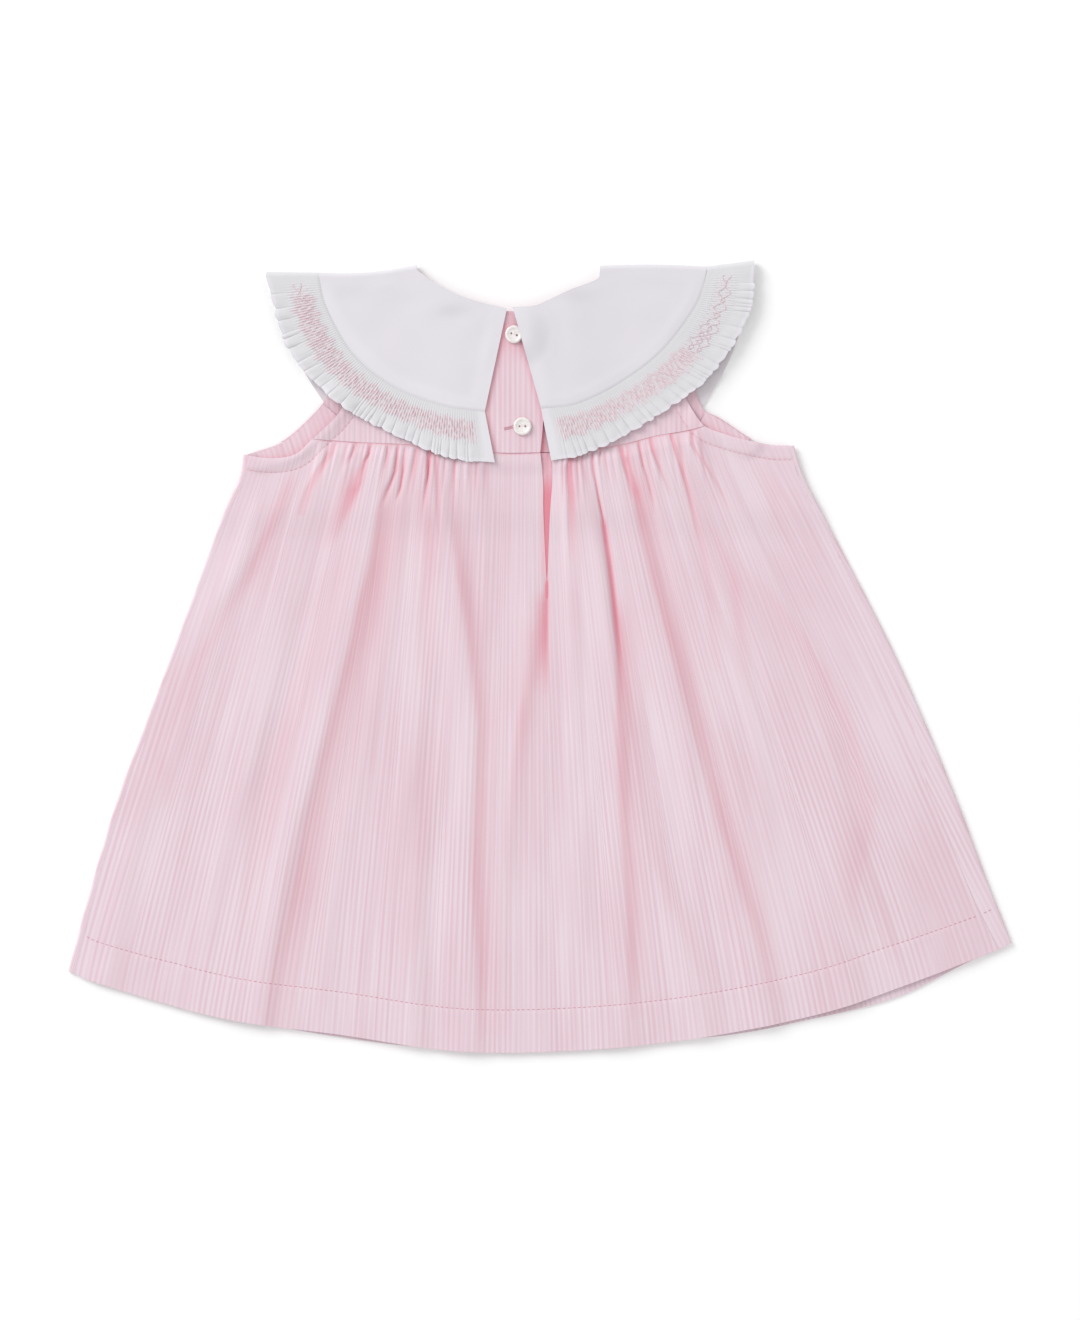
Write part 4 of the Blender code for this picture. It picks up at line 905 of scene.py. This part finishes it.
yoke_neck_left, yoke_neck_right = path(YOKE_NECK_LEFT), path(YOKE_NECK_RIGHT)
below_band = beside(yoke_neck_left, NECK_BAND_WIDTH + SEAM_GAP)
left_yoke_panel = patch(
    chain(
        (SHOULDER_END, path(SHOULDER_LEFT + [tuple(below_band(1.0))])), (1.0, stretch(below_band, 1.0, 0.0)),
    ),
    moved(stretch(seam_left, 0.0, share_near(seam_left, PLACKET_EDGE[-1])), y=SEAM_GAP / 2),
    stretch(yoke_armhole_left, 1.0, 0.0), path(PLACKET_EDGE),
)
under_yoke_start = (UNDERLAP_X[0], YOKE_SEAM_RIGHT[0][1])
right_yoke_panel = patch(
    chain((UNDER_NECK_END, yoke_neck_right), (1.0, path([YOKE_NECK_RIGHT[-1], ARMHOLE_BACK_RIGHT[-1]]))),
    moved(chain((0.30, path([under_yoke_start, YOKE_SEAM_RIGHT[0]])), (1.0, seam_right)), y=SEAM_GAP / 2),
    path([YOKE_NECK_RIGHT[0], under_yoke_start]), stretch(yoke_armhole_right, 1.0, 0.0),
)


def left_yoke_height(place):
    return BACK_MID + LAYER * rise(LAP_START_X - 10.0, LAP_START_X, place[:, 0]) + facing_lift(place)


def collar_shadow(place):
    """How much painted shadow the collar's centre edges cast on the yoke beside them."""
    x, y = place.T
    left = np.interp(y, (102.6, 129.8, 184.2), (-23.9, -29.2, -17.5))
    right = np.interp(y, (103.6, 131.4, 184.9), (6.0, 0.5, -14.5))
    return 0.42 * hump(x - left, 2.4) + 0.34 * hump(x - right, 2.0)


def pulled(x, v, seed):
    """Height of the small pulls that the gathers make above the yoke seam."""
    return PULL_HEIGHT * (1.0 + ripples(x / 300.0, v, (17, 29, 41), seed)) * rise(0.55, 1.0, v)


def left_yoke_surface(u, v, side):
    """The upper half, with a ridge where the placket is turned in and a shade round the neck button."""
    place = left_yoke_panel(u, v)
    x, y = place.T
    turned = 0.18 * rise(-PLACKET_WIDTH - 1.5, -PLACKET_WIDTH, x)
    raised, groove = armhole_turning(place)
    height = left_yoke_height(place) + pulled(x, v, 11) + turned - 0.15 * hump(x - 0.5, 1.0)
    height += raised - GROOVE_DEPTH * groove
    # painted shade round the neck button, painted shadow beside the collar's centre edges, an even touch of
    # painted shade, and painted shade in the stitched groove
    button_shadow = 0.30 * hump(x + 14.5, 8.0) * hump(y - 169.0, 10.0)
    return place, height, 0.04 + GROOVE_SHADE * groove + collar_shadow(place) + button_shadow


def right_yoke_surface(u, v, side):
    """The lower half, with painted shade beside the edge of the placket that covers it."""
    place = right_yoke_panel(u, v)
    x = place[:, 0]
    raised, groove = armhole_turning(place)
    height = BACK_MID + facing_lift(place) + pulled(x, v, 12) * rise(8.0, 16.0, x)
    height += raised - GROOVE_DEPTH * groove
    # painted shade beside the placket's edge, an even touch of it over the half, and in the stitched groove
    shade = 0.04 + 0.25 * fall(2.0, 7.0, x) + 0.55 * hump(x - 1.6, 1.2) + GROOVE_SHADE * groove
    return place, height, np.minimum(shade, 1.0)


def neck_band_surface(u, v, side):
    place = beside(yoke_neck_left, NECK_BAND_WIDTH * v)(u)
    # painted shade all over the band, which lies between the collar halves
    return place, left_yoke_height(place) + 0.12 * np.sin(math.pi * v), 0.30


left_yoke = lay_cloth(
    "yoke_back_left", "back_yoke_left", lines((SHOULDER_END, 40), (1.0, 80)), lines((1.0, 80)),
    left_yoke_surface, straight_threads, pink_stripe,
)
right_yoke = lay_cloth(
    "yoke_back_right", "back_yoke_right", lines((UNDER_NECK_END, 70), (1.0, 44)), lines((1.0, 80)),
    right_yoke_surface, straight_threads, pink_stripe,
)
neck_band = lay_cloth("neck_binding", "neck_band", lines((1.0, 90)), lines((1.0, 10)), neck_band_surface,
                      lambda u, v, place: (v * NECK_BAND_WIDTH, u * 72.0), pink_binding)


pale_thread = thread_shader("pale sewing thread", (0.72, 0.48, 0.55, 1.0), (0.68, 0.43, 0.50, 1.0))
for hand, rows, inwards in (("left", ARMHOLE_BACK_LEFT, -1.0), ("right", ARMHOLE_BACK_RIGHT, 1.0)):
    armhole_line = beside(path(rows), inwards * ARMHOLE_TURNED)(np.linspace(0.004, 0.75, 400))
    stitching = sew_on(
        (back_skirt, left_yoke, right_yoke), f"armhole_stitching_{hand}", [stitch_ends(armhole_line)],
        width=0.28, material=pale_thread,
    )


# ================================================================ collar halves
# Each collar half is double white cotton, turned out at its edges so that they stand a little proud. It
# runs from the centre back over the shoulder to the centre front.
BACK_EDGES = {
    "left": {
        "neck": path([(-17.5, 184.2), (-34.5, 188.3), (-46.1, 192.7), (-56.2, 199.5), (-65.2, 207.5)]),
        "seam": path([(-29.2, 129.8), (-50.9, 133.0), (-76.9, 142.8), (-98.4, 160.1), (-112.5, 186.0),
                      (-117.0, 203.4)]),
        "edge": path([(-23.9, 102.6), (-46.6, 105.2), (-72.6, 115.3), (-107.1, 134.1), (-133.0, 163.5),
                      (-145.1, 203.8)]),
    },
    "right": {
        "neck": path([(-14.5, 184.9), (-3.7, 185.5), (6.0, 189.5), (28.8, 201.2), (31.8, 207.1)]),
        "seam": path([(0.5, 131.4), (20.1, 134.1), (43.9, 146.0), (65.6, 163.3), (82.7, 188.2),
                      (88.2, 206.6)]),
        "edge": path([(6.0, 103.6), (27.6, 108.6), (65.6, 129.4), (91.5, 150.3), (110.6, 183.0),
                      (113.6, 209.8)]),
    },
}
FOLD_SAG = {"left": 1.9, "right": -0.8}  # how far the fold bows down between its ends
CENTRE_FRONT_GAP = 0.25  # degrees
FRONT_SETTLING = 5  # how soon the front edges settle on their ellipses below the fold
NECK_BUTTON = (-13.7, 170.5)
BUTTON_THICKNESS, BUTTON_GAP = 2.0, 0.3
BUTTON_REACH = (6.3, 20.0)  # how far from its middle the neck button holds the collar up
TURNED_EDGE = 9.0  # width of the turned-in edge that shows through the collar
TURNED_SHADE = {"left": 0.6, "right": 0.3}
COLLAR_WIDTH = 68.0
COLLAR_SEED = {"left": 21, "right": 22}
COTTON_TINTS_SHADE_AND_LIGHT = {  # whiter where cloth is double, which also serves as painted light, grey painted shade in creases and dents, and pink where coloured thread shows through
    "double_and_painted_light": (0.745, 0.730, 0.765, 1.0),
    "crease_and_shade": (0.50, 0.49, 0.50, 1.0),
    "blush": (0.80, 0.42, 0.47, 1.0),
}
DENTS = [  # x, y, half sizes, depth, which also sets the painted shade in the dent
    (-45.5, 182.0, 9.0, 4.0, 0.42), (21.0, 189.5, 9.0, 4.5, 0.36), (9.0, 168.0, 5.0, 16.0, 0.16),
    (-98.0, 194.0, 13.0, 6.0, 0.22), (68.0, 198.0, 16.0, 5.0, 0.20),
]


def white_cotton_shader(name, darker, lighter):
    """White cotton, with grey painted shade in its creases and pink where coloured thread shows through."""
    material, tree, shader = cotton_shader(name, 0.08)
    threads = add_node(tree, "ShaderNodeUVMap").outputs[0]
    colour = mixed(tree, noise(tree, threads, (30.0, 30.0)), darker, lighter)
    for label, tint in COTTON_TINTS_SHADE_AND_LIGHT.items():
        colour = mixed(tree, shading(tree, label), colour, tint)
    tree.links.new(colour, shader.inputs["Base Color"])
    fuzz = maths(tree, "MULTIPLY", noise(tree, threads, (1400.0, 1400.0), 3.0), 0.7)
    add_bump(tree, shader, 0.3, 0.00015, maths(tree, "MULTIPLY_ADD", weave(tree, threads), 0.2, fuzz))
    return material


white_cotton = white_cotton_shader("white cotton", (0.690, 0.672, 0.712, 1.0), (0.735, 0.705, 0.745, 1.0))


def collar_height(hand, place):
    """Height of the collar's middle, over the lap, the facings and, on the right, the neck button."""
    height = COLLAR_MID + lap_lift(place[:, 0], LAP_START_X - 4.0, 14.0, 34.0) + facing_lift(place, 8.0, 9.0)
    if hand == "right":
        away = np.linalg.norm(place - np.array(NECK_BUTTON), axis=-1)
        height += (BUTTON_THICKNESS + BUTTON_GAP) * fall(*BUTTON_REACH, away)
    return height


def folded_half(hand, inner, outer, s, across, sag, back_detail, front_wave):
    """Places and heights of a collar half: s is 0 to 1 on the back, to 2 round the fold, to 3 in front.

    back_detail gives how far points lie outwards and up on the back, and front_wave the height in front.
    """
    def back_place(share):
        near, far = BACK_EDGES[hand][inner](share), BACK_EDGES[hand][outer](share)
        out, up = back_detail(share)
        place = near + across[:, None] * (far - near) + out[:, None] * of_length(far - near)
        return place, collar_height(hand, place) + up

    place, height = back_place(np.minimum(s, 1.0))
    radius = (back_place(np.ones(len(s)))[1] - FLOOR_MID) / 2
    below_fold = radius + 0.5 + sag * np.sin(math.pi * across)
    place[:, 1] -= below_fold * rise(0.55, 1.0, s)
    turn = math.pi * capped(s - 1.0)
    place[:, 1] += radius * np.sin(turn)
    height = np.where(s > 1.0, FLOOR_MID + radius * (1.0 + np.cos(turn)), height)
    share = (s - 2.0).clip(0.0) * (0.5 - CENTRE_FRONT_GAP / 180.0)
    first = np.zeros(len(s)) if hand == "left" else np.ones(len(s))
    start, here = [
        (1.0 - across)[:, None] * front_ellipse(inner, at) + across[:, None] * front_ellipse(outer, at)
        for at in (first, np.abs(first - share))
    ]
    front = here + (place - start) * (3.0 - s).clip(0.0)[:, None] ** FRONT_SETTLING
    place = np.where((s > 2.0)[:, None], front, place)
    return place, height + front_wave


def collar_surface(hand, u, v):
    """The turned edges stand proud, and the cloth between them is a little uneven."""
    s = 3.0 * u
    place, height = folded_half(
        hand, "neck", "seam", s, v, FOLD_SAG[hand], lambda share: np.zeros((2, len(share))), 0.0,
    )
    back = (s < 1.0) * rise(1.0, 0.9, s)
    from_seam = (1.0 - v) * COLLAR_WIDTH
    first_neck, first_seam = BACK_EDGES[hand]["neck"](0.0), BACK_EDGES[hand]["seam"](0.0)
    along = of_length(first_seam - first_neck)
    inside = np.minimum(from_seam, np.abs((place - first_neck) @ np.array([along[1], -along[0]])))
    edge = fall(TURNED_EDGE - 3.5, TURNED_EDGE + 2.5, inside)
    uneven = 0.22 * (1.0 + ripples(s, v, (1.3, 2.1, 3.4), COLLAR_SEED[hand]))
    uneven *= rise(0.0, 0.15, v) * rise(0.0, 6.0, inside)
    dent = sum(
        depth * hump(place[:, 0] - x, wide) * hump(place[:, 1] - y, high) for x, y, wide, high, depth in DENTS
    )
    height = height + back * (0.12 * edge + uneven - dent - 0.3 * hump(from_seam, 0.8))
    # painted shade in the dents and along the seam to the ruffle
    shade = 0.45 * dent + 0.22 * hump(from_seam, 0.9)
    return place, height, back * shade, 0.0, back * TURNED_SHADE[hand] * edge


def collar_threads(u, v, place):
    return 3.0 * u * 130.0, v * 70.0


collar_lines = lines((1 / 3, 110), (2 / 3, 18), (1.0, 66))
for hand in ("left", "right"):
    collar = lay_cloth(
        f"collar_half_{hand}", f"collar_{hand}", collar_lines, lines((0.9, 44), (1.0, 12)),
        lambda u, v, side, hand=hand: collar_surface(hand, u, v), collar_threads, white_cotton,
    )


# ================================================================ smocked ruffles
# A strip of white cotton is drawn up in narrow pleats, smocked through its middle with pink thread and left
# to flare in uneven flutes along its rolled edge. It is sewn along the outer edge of each collar half.
RUFFLE_START = 0.002  # share of its width that stays clear of the seam
RUFFLE_RISE = 0.9  # of the loose edge above the collar's outer edge
RUFFLE_LENGTH = 165.0  # along the loose edge of a back half
FLUTES = 31  # of the loose edge, on each back half
FLUTE_HEIGHT, FLUTE_SCALLOP = 0.6, 1.1  # up, and outwards in the plane of the table
FLUTE_SEED = {"left": 31, "right": 32}
MORE_FLARE = {"left": 0.6, "right": 0.2}  # of the flutes nearest the centre back
FRONT_FLARES, FRONT_FLARE_HEIGHT, FRONT_FLARES_END = 11, 1.4, 0.34
NARROW_PLEATS = 104  # on each back half
SMOCKED = (0.22, 0.62)  # where the smocked band lies, as shares of the ruffle's width
HONEYCOMB_ROWS = 2.0
SMOCKING_ROWS = (0.27, 0.34, 0.41, 0.48, 0.55)
SMOCKING_SEED = {"left": 51, "right": 52}
ZIGZAGS = 16  # of the smocking thread, on each back half
ZIGZAG_SWING, WIDER_SWING = 0.055, 0.045  # near the centre back, and how much more past the middle
OPEN_FROM = {"left": 0.93, "right": 0.64}  # share of a back half where the smocking opens into diamonds
THREAD_WIDTH = 0.34
FLAT_FROM = 0.93  # share of a back half where the pleats start to run out towards the fold


def uneven_flutes(seed):
    """Where the flutes of a loose edge meet, how far each leans over and how high it stands."""
    random = np.random.default_rng(seed)
    widths = random.uniform(0.3, 1.8, FLUTES) * np.linspace(0.8, 1.2, FLUTES)
    meets = 0.045 + 0.90 * np.concatenate([[0.0], np.cumsum(widths)]) / widths.sum()
    return meets, random.uniform(0.6, 1.6, FLUTES), random.uniform(0.4, 1.0, FLUTES)


FLUTE_SHAPES = {hand: uneven_flutes(seed) for hand, seed in FLUTE_SEED.items()}


def flare(hand, share, v):
    """Height of the loose edge's flutes, 0 to 1, and how near a point is to the crease between two."""
    meets, leans, heights = FLUTE_SHAPES[hand]
    share = share + 0.012 * (v - 0.6) * ripples(share, 0.0 * share, (7, 12, 17), 41)
    flute = np.clip(np.searchsorted(meets, share) - 1, 0, FLUTES - 1)
    start, end = meets[flute], meets[flute + 1]
    t = capped((share - start) / (end - start))
    crown = (1.0 - np.abs(2.0 * t ** leans[flute] - 1.0) ** 3.0) * heights[flute]
    crown *= 1.0 + MORE_FLARE[hand] * hump(share - 0.14, 0.09)
    return crown, hump(np.minimum(np.abs(share - start), np.abs(end - share)) * RUFFLE_LENGTH, 0.45)


def ridge_place(v):
    """How far a pleat's ridge lies from the middle of its pair: ridges meet and part in the smocked band."""
    share = capped((v - SMOCKED[0]) / (SMOCKED[1] - SMOCKED[0]))
    wave = plateau(0.0, 0.12, 0.88, 1.0, share) * np.cos(math.tau * HONEYCOMB_ROWS * share)
    return 0.5 + 0.2 * wave


def pleat_ridges(s, v):
    """How near a point is to a pleat's ridge, 0 to 1."""
    from_middle = np.abs(((s * NARROW_PLEATS / 2) % 1.0) * 2.0 - 1.0)
    ridge = ridge_place(v)
    return hump(np.minimum(np.abs(from_middle - ridge), 2.0 - from_middle - ridge), 0.21)


def zigzag(s, row):
    """Where a row of smocking thread lies across the ruffle: neighbouring rows make diamonds."""
    swing = ZIGZAG_SWING + WIDER_SWING * rise(0.40, 0.60, s) * (s < FLAT_FROM)
    return SMOCKING_ROWS[row] + swing * (2.0 * np.abs(2.0 * ((ZIGZAGS * s + row / 2) % 1.0) - 1.0) - 1.0)


def ruffle_surface(hand, u, v):
    """Narrow pleats, held by the smocking, that open into flutes towards the loose edge."""
    s = 3.0 * u
    at = np.minimum(s, 1.0)
    loose = rise(0.50, 0.95, v)

    def detail(share):
        live = plateau(0.035, 0.07, 0.90, 1.0, share) * loose
        calm = plateau(0.035, 0.06, FLAT_FROM, 1.0, share)
        crown, crease_and_shade = flare(hand, share, v)
        small = ripples(share, v, (13, 19, 29), FLUTE_SEED[hand]) * rise(0.5, 0.8, v)
        ridges = pleat_ridges(share, v) * (1.0 - 0.92 * rise(SMOCKED[1] - 0.02, 0.78, v))
        band = plateau(0.12, *SMOCKED, SMOCKED[1] + 0.1, v)
        up = RUFFLE_RISE * rise(0.1, 1.0, v) - 0.3 * hump(v, 0.03)
        up += live * (FLUTE_HEIGHT * crown - 0.30 * crease_and_shade + 0.25 * small)
        up += calm * (0.12 + 0.24 * band) * ridges
        return live * (FLUTE_SCALLOP * (crown - 0.55) + 0.5 * small), up

    front = rise(0.4, 1.0, v) * plateau(0.02, 0.1, FRONT_FLARES_END - 0.05, FRONT_FLARES_END, s - 2.0)
    front *= FRONT_FLARE_HEIGHT * (0.5 - 0.5 * np.cos(math.tau * FRONT_FLARES * (s - 2.0)))
    across = RUFFLE_START + (1.0 - RUFFLE_START) * v
    place, height = folded_half(hand, "seam", "edge", s, across, 0.0, detail, front)

    back = (s < 1.0) * rise(1.0, 0.95, s) * rise(0.03, 0.06, s)
    valley = 1.0 - pleat_ridges(at, v)
    share = (v - SMOCKING_ROWS[2] - 0.5 * (zigzag(at, 0) - SMOCKING_ROWS[0])) / 0.20
    band = plateau(-1.2, -0.8, 0.8, 1.2, share)
    crown, between = flare(hand, at, v)
    patchy = 0.45 + 0.55 * ripples(at, v, (13, 19, 29), FLUTE_SEED[hand] + 20)
    # painted shade in the pleats' valleys, in the creases between flutes, on the lower flutes and along the
    # seam
    crease_and_shade = 0.16 * valley * (1.0 - band) * (1.0 - 0.75 * rise(0.60, 0.76, v))
    crease_and_shade += loose * (0.36 * capped(patchy) * between + 0.10 * capped(1.0 - crown) ** 2)
    crease_and_shade = back * crease_and_shade + (s < 1.0) * 0.30 * hump(v, 0.035)
    opened = rise(OPEN_FROM[hand] - 0.04, OPEN_FROM[hand] + 0.04, at)
    blush = back * band * (1.0 - 0.85 * opened) * (0.07 + 0.22 * valley)
    blush += (s > 2.0) * 0.10 * rise(0.5, 1.0, v)
    # whiter where the cloth is double at its rolled edge and its end; past the fold the front is made whiter
    # too, as painted light where the back half shades it
    double_and_painted_light = (s < 1.0) * (rise(0.91, 0.94, v) + fall(0.02, 0.04, s)) + (s > 1.8)
    return place, height, capped(crease_and_shade), capped(blush), 0.8 * capped(double_and_painted_light)


def smocking_stitches(hand):
    """Starts and ends, on the ruffle, of a short stitch over each ridge in each row of smocking.

    Near the shoulder the pleats open, and there the stitches reach from ridge to ridge in diamonds.
    """
    random = np.random.default_rng(SMOCKING_SEED[hand])
    pleats = np.arange(6, NARROW_PLEATS - 2)
    count = len(pleats)

    def on_ridge(pleat, v):
        side = np.where(pleat % 2 == 0, -1.0, 1.0)
        return (pleat // 2 + 0.5 * (1.0 + side * ridge_place(v))) * 2.0 / NARROW_PLEATS

    rows = []
    for row, middle in enumerate(SMOCKING_ROWS):
        level = zigzag(on_ridge(pleats, np.full(count, middle)), row)
        reach = random.uniform(0.025, 0.085, count)
        level = level + random.uniform(-0.018, 0.018, count)
        opened = on_ridge(pleats, level) > OPEN_FROM[hand]
        reach = np.where(opened, 0.0, reach)
        begin, end = level - reach, level + reach
        end[:-1] = np.where(opened[:-1], level[1:], end[:-1])
        sparse = (row not in (2, 3)) & (pleats > 0.76 * NARROW_PLEATS)
        kept = np.where(opened, ~sparse & (row > 0), random.uniform(size=count) > 0.22)
        kept[-1] = False
        rows.append(np.stack([on_ridge(pleats, begin), begin, on_ridge(pleats + opened, end), end])[:, kept])
    stitches = np.hstack(rows)
    for s, v in (stitches[:2], stitches[2:]):
        place, height = ruffle_surface(hand, s / 3.0, v)[:2]
        yield np.column_stack([place, height + CLOTH / 2 + 0.05])


smocking_thread = thread_shader("pink smocking thread", (0.84, 0.635, 0.69, 1.0), (0.80, 0.53, 0.60, 1.0))
ruffle_cotton = white_cotton_shader("ruffle cotton", (0.665, 0.660, 0.685, 1.0), (0.705, 0.695, 0.715, 1.0))
ruffle_lines = lines((1 / 3, 7 * NARROW_PLEATS), (2 / 3, 16), ((2 + FRONT_FLARES_END) / 3, 132), (1.0, 60))
for hand in ("left", "right"):
    ruffle = lay_cloth(
        f"smocked_ruffle_{hand}", f"ruffle_{hand}", ruffle_lines, lines((0.1, 4), (0.64, 17), (1.0, 13)),
        lambda u, v, side, hand=hand: ruffle_surface(hand, u, v),
        lambda u, v, place: (3.0 * u * 300.0, v * 30.0), ruffle_cotton,
    )
    smocking = sew(f"smocking_{hand}", *smocking_stitches(hand), THREAD_WIDTH, smocking_thread)


# ================================================================ buttons and buttonhole
# Two small turned pearl buttons with a dished middle, each sewn on with pink thread through two holes. The
# buttonhole is worked across the upper yoke half in sewing thread, and pulls towards its button.
BUTTON_PROFILE = [  # radius, height: from the flat back round the rim to the dished middle
    (3.6, 0.0), (4.4, 0.25), (4.8, 0.9), (4.75, 1.35), (4.45, 1.75), (4.0, 1.95), (3.5, 1.85), (2.9, 1.5),
    (2.4, 1.35),
]
BUTTON_BASE = BACK_MID + LAYER + 0.8
HOLE_RADIUS, HOLE_SPACING = 0.55, 3.0
THREAD_LEVEL = BUTTON_BASE + BUTTON_PROFILE[-1][1] - 0.12
BUTTONS = [  # name, node, place, degrees that its holes are turned
    ("neck_button", "button_neck", NECK_BUTTON, -19.0),
    ("yoke_button", "button_yoke", (-9.3, 121.8), 0.0),
]
BUTTONHOLE = [(-19.2, 120.5), (-16.8, 120.9), (-13.2, 122.0)]
ACROSS_BUTTONHOLE = np.array([0.14, -0.99])


def pearl_shader():
    """Mother of pearl: pale, glossy, clouded in faint pinks and greys."""
    pearl, tree, shader = new_material("mother of pearl", {
        "Roughness": 0.28, "Specular IOR Level": 0.5, "Coat Weight": 0.4, "Coat Roughness": 0.12,
    })
    place = add_node(tree, "ShaderNodeTexCoord").outputs["Object"]
    swirl = noise(tree, place, (260.0, 520.0), 3.0)
    bands = maths(tree, "MULTIPLY_ADD", maths(tree, "SINE", maths(tree, "MULTIPLY", swirl, 26.0)), 0.5, 0.5)
    colour = mixed(tree, bands, (0.87, 0.84, 0.81, 1.0), (0.78, 0.73, 0.72, 1.0))
    tree.links.new(colour, shader.inputs["Base Color"])
    return pearl


def turn_button(name, x, y):
    """A disc extruded and scaled ring by ring along its profile."""
    bpy.ops.mesh.primitive_circle_add(vertices=64, radius=BUTTON_PROFILE[0][0] * MM, fill_type="NGON")
    disc = bpy.context.object
    disc.name = disc.data.name = name
    bpy.ops.object.mode_set(mode="EDIT")
    bpy.ops.mesh.select_all(action="SELECT")
    for (radius, low), (next_radius, high) in zip(BUTTON_PROFILE, BUTTON_PROFILE[1:]):
        bpy.ops.mesh.extrude_region_move(TRANSFORM_OT_translate={"value": (0.0, 0.0, (high - low) * MM)})
        ratio = next_radius / radius
        bpy.ops.transform.resize(value=(ratio, ratio, 1.0), center_override=(0.0, 0.0, 0.0))
    bpy.ops.mesh.select_all(action="SELECT")
    bpy.ops.mesh.normals_make_consistent(inside=False)
    bpy.ops.transform.translate(value=(x * MM, y * MM, BUTTON_BASE * MM))
    bpy.ops.object.mode_set(mode="OBJECT")
    return disc


def drill(disc, x, y):
    """A hole through a button."""
    bpy.ops.object.select_all(action="DESELECT")
    bpy.ops.mesh.primitive_cylinder_add(
        vertices=20, radius=HOLE_RADIUS * MM, depth=8.0 * MM, location=(x * MM, y * MM, BUTTON_BASE * MM),
    )
    bit = bpy.context.object
    bpy.context.view_layer.objects.active = disc
    hole = disc.modifiers.new("hole", "BOOLEAN")
    hole.operation, hole.object = "DIFFERENCE", bit
    bpy.ops.object.modifier_apply(modifier=hole.name)
    bpy.data.objects.remove(bit)


pearl = pearl_shader()
for name, node, centre, tilt in BUTTONS:
    disc = turn_button(name, *centre)
    aside = np.array([math.cos(math.radians(tilt)), math.sin(math.radians(tilt))]) * HOLE_SPACING / 2
    for way in (-1, 1):
        drill(disc, *(centre + way * aside))
    disc.select_set(True)
    eased = disc.modifiers.new("eased", "BEVEL")
    eased.width, eased.segments, eased.limit_method = 0.07 * MM, 2, "ANGLE"
    eased.angle_limit = math.radians(50)
    bpy.ops.object.modifier_apply(modifier=eased.name)
    bpy.ops.object.shade_smooth_by_angle(angle=math.radians(40))
    disc.data.materials.append(pearl)
    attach(disc, "root")
    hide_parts(node)
    bpy.ops.object.select_all(action="DESELECT")
    apart = of_length(np.array([-aside[1], aside[0]]), 0.16)
    starts, ends = [
        np.array([[*(centre + way * aside + shift * apart), THREAD_LEVEL] for shift in (-1, 1)])
        for way in (-1, 1)
    ]
    sewn = sew(f"{name}_thread", starts, ends, THREAD_WIDTH, smocking_thread)

slit_line = path(BUTTONHOLE)(np.linspace(0.0, 1.0, 40))
middles, _ = stitch_ends(slit_line, 0.1, 0.38)
worked = [stitch_ends(slit_line, 1.5, 0.05)] + [
    (middles + inner * ACROSS_BUTTONHOLE, middles + outer * ACROSS_BUTTONHOLE)
    for inner, outer in ((0.15, 0.95), (-0.15, -0.95))
]
buttonhole = sew_on((left_yoke,), "buttonhole_stitching", worked, width=0.30, material=seam_thread)


# ================================================================ camera, floor and light
# The dress lies on a plain pale floor, under a high camera and soft studio light from the upper left.
CAMERA_HEIGHT = 2.4
VIEW_HEIGHT = 0.6996  # of the part of the dress's plane that the view takes in
VIEW_Y, VIEW_LEVEL = -0.0019, 0.003  # the middle of the view, and the height of the dress's plane
SENSOR_HEIGHT = 24.0
SKY_LIGHT = 0.755

camera_data = bpy.data.cameras.new("camera")
camera_data.sensor_fit = "VERTICAL"
camera_data.sensor_height = SENSOR_HEIGHT
camera_data.lens = SENSOR_HEIGHT * CAMERA_HEIGHT / VIEW_HEIGHT
camera = bpy.data.objects.new("camera", camera_data)
camera.location = (0.0, VIEW_Y, CAMERA_HEIGHT + VIEW_LEVEL)
bpy.context.scene.collection.objects.link(camera)
bpy.context.scene.camera = camera

bpy.ops.mesh.primitive_plane_add(size=8.0, location=(0.0, 0.0, -0.0002))
floor = bpy.context.object
floor.name = "floor"
floor.data.materials.append(new_material("white floor", {
    "Base Color": (0.95, 0.95, 0.95, 1.0), "Emission Color": (1.0, 1.0, 1.0, 1.0), "Emission Strength": 0.035,
    "Roughness": 0.9,
})[0])

LIGHTS = [  # name, place, size, watts
    ("key light", (-3.42, 2.97, 2.94), 3.0, 168.0),
    ("fill light", (1.6, -1.2, 2.2), 2.4, 3.0),
]
for name, place, size, watts in LIGHTS:
    data = bpy.data.lights.new(name, "AREA")
    data.size, data.energy = size, watts
    light = bpy.data.objects.new(name, data)
    light.location = place
    light.rotation_euler = (-Vector(place)).to_track_quat("-Z", "Y").to_euler()
    bpy.context.scene.collection.objects.link(light)
world = bpy.data.worlds.new("studio")
world.use_nodes = True
background = world.node_tree.nodes["Background"].inputs
background["Color"].default_value, background["Strength"].default_value = (1.0, 1.0, 1.0, 1.0), SKY_LIGHT
bpy.context.scene.world = world
bpy.context.scene.view_settings.view_transform = "Standard"
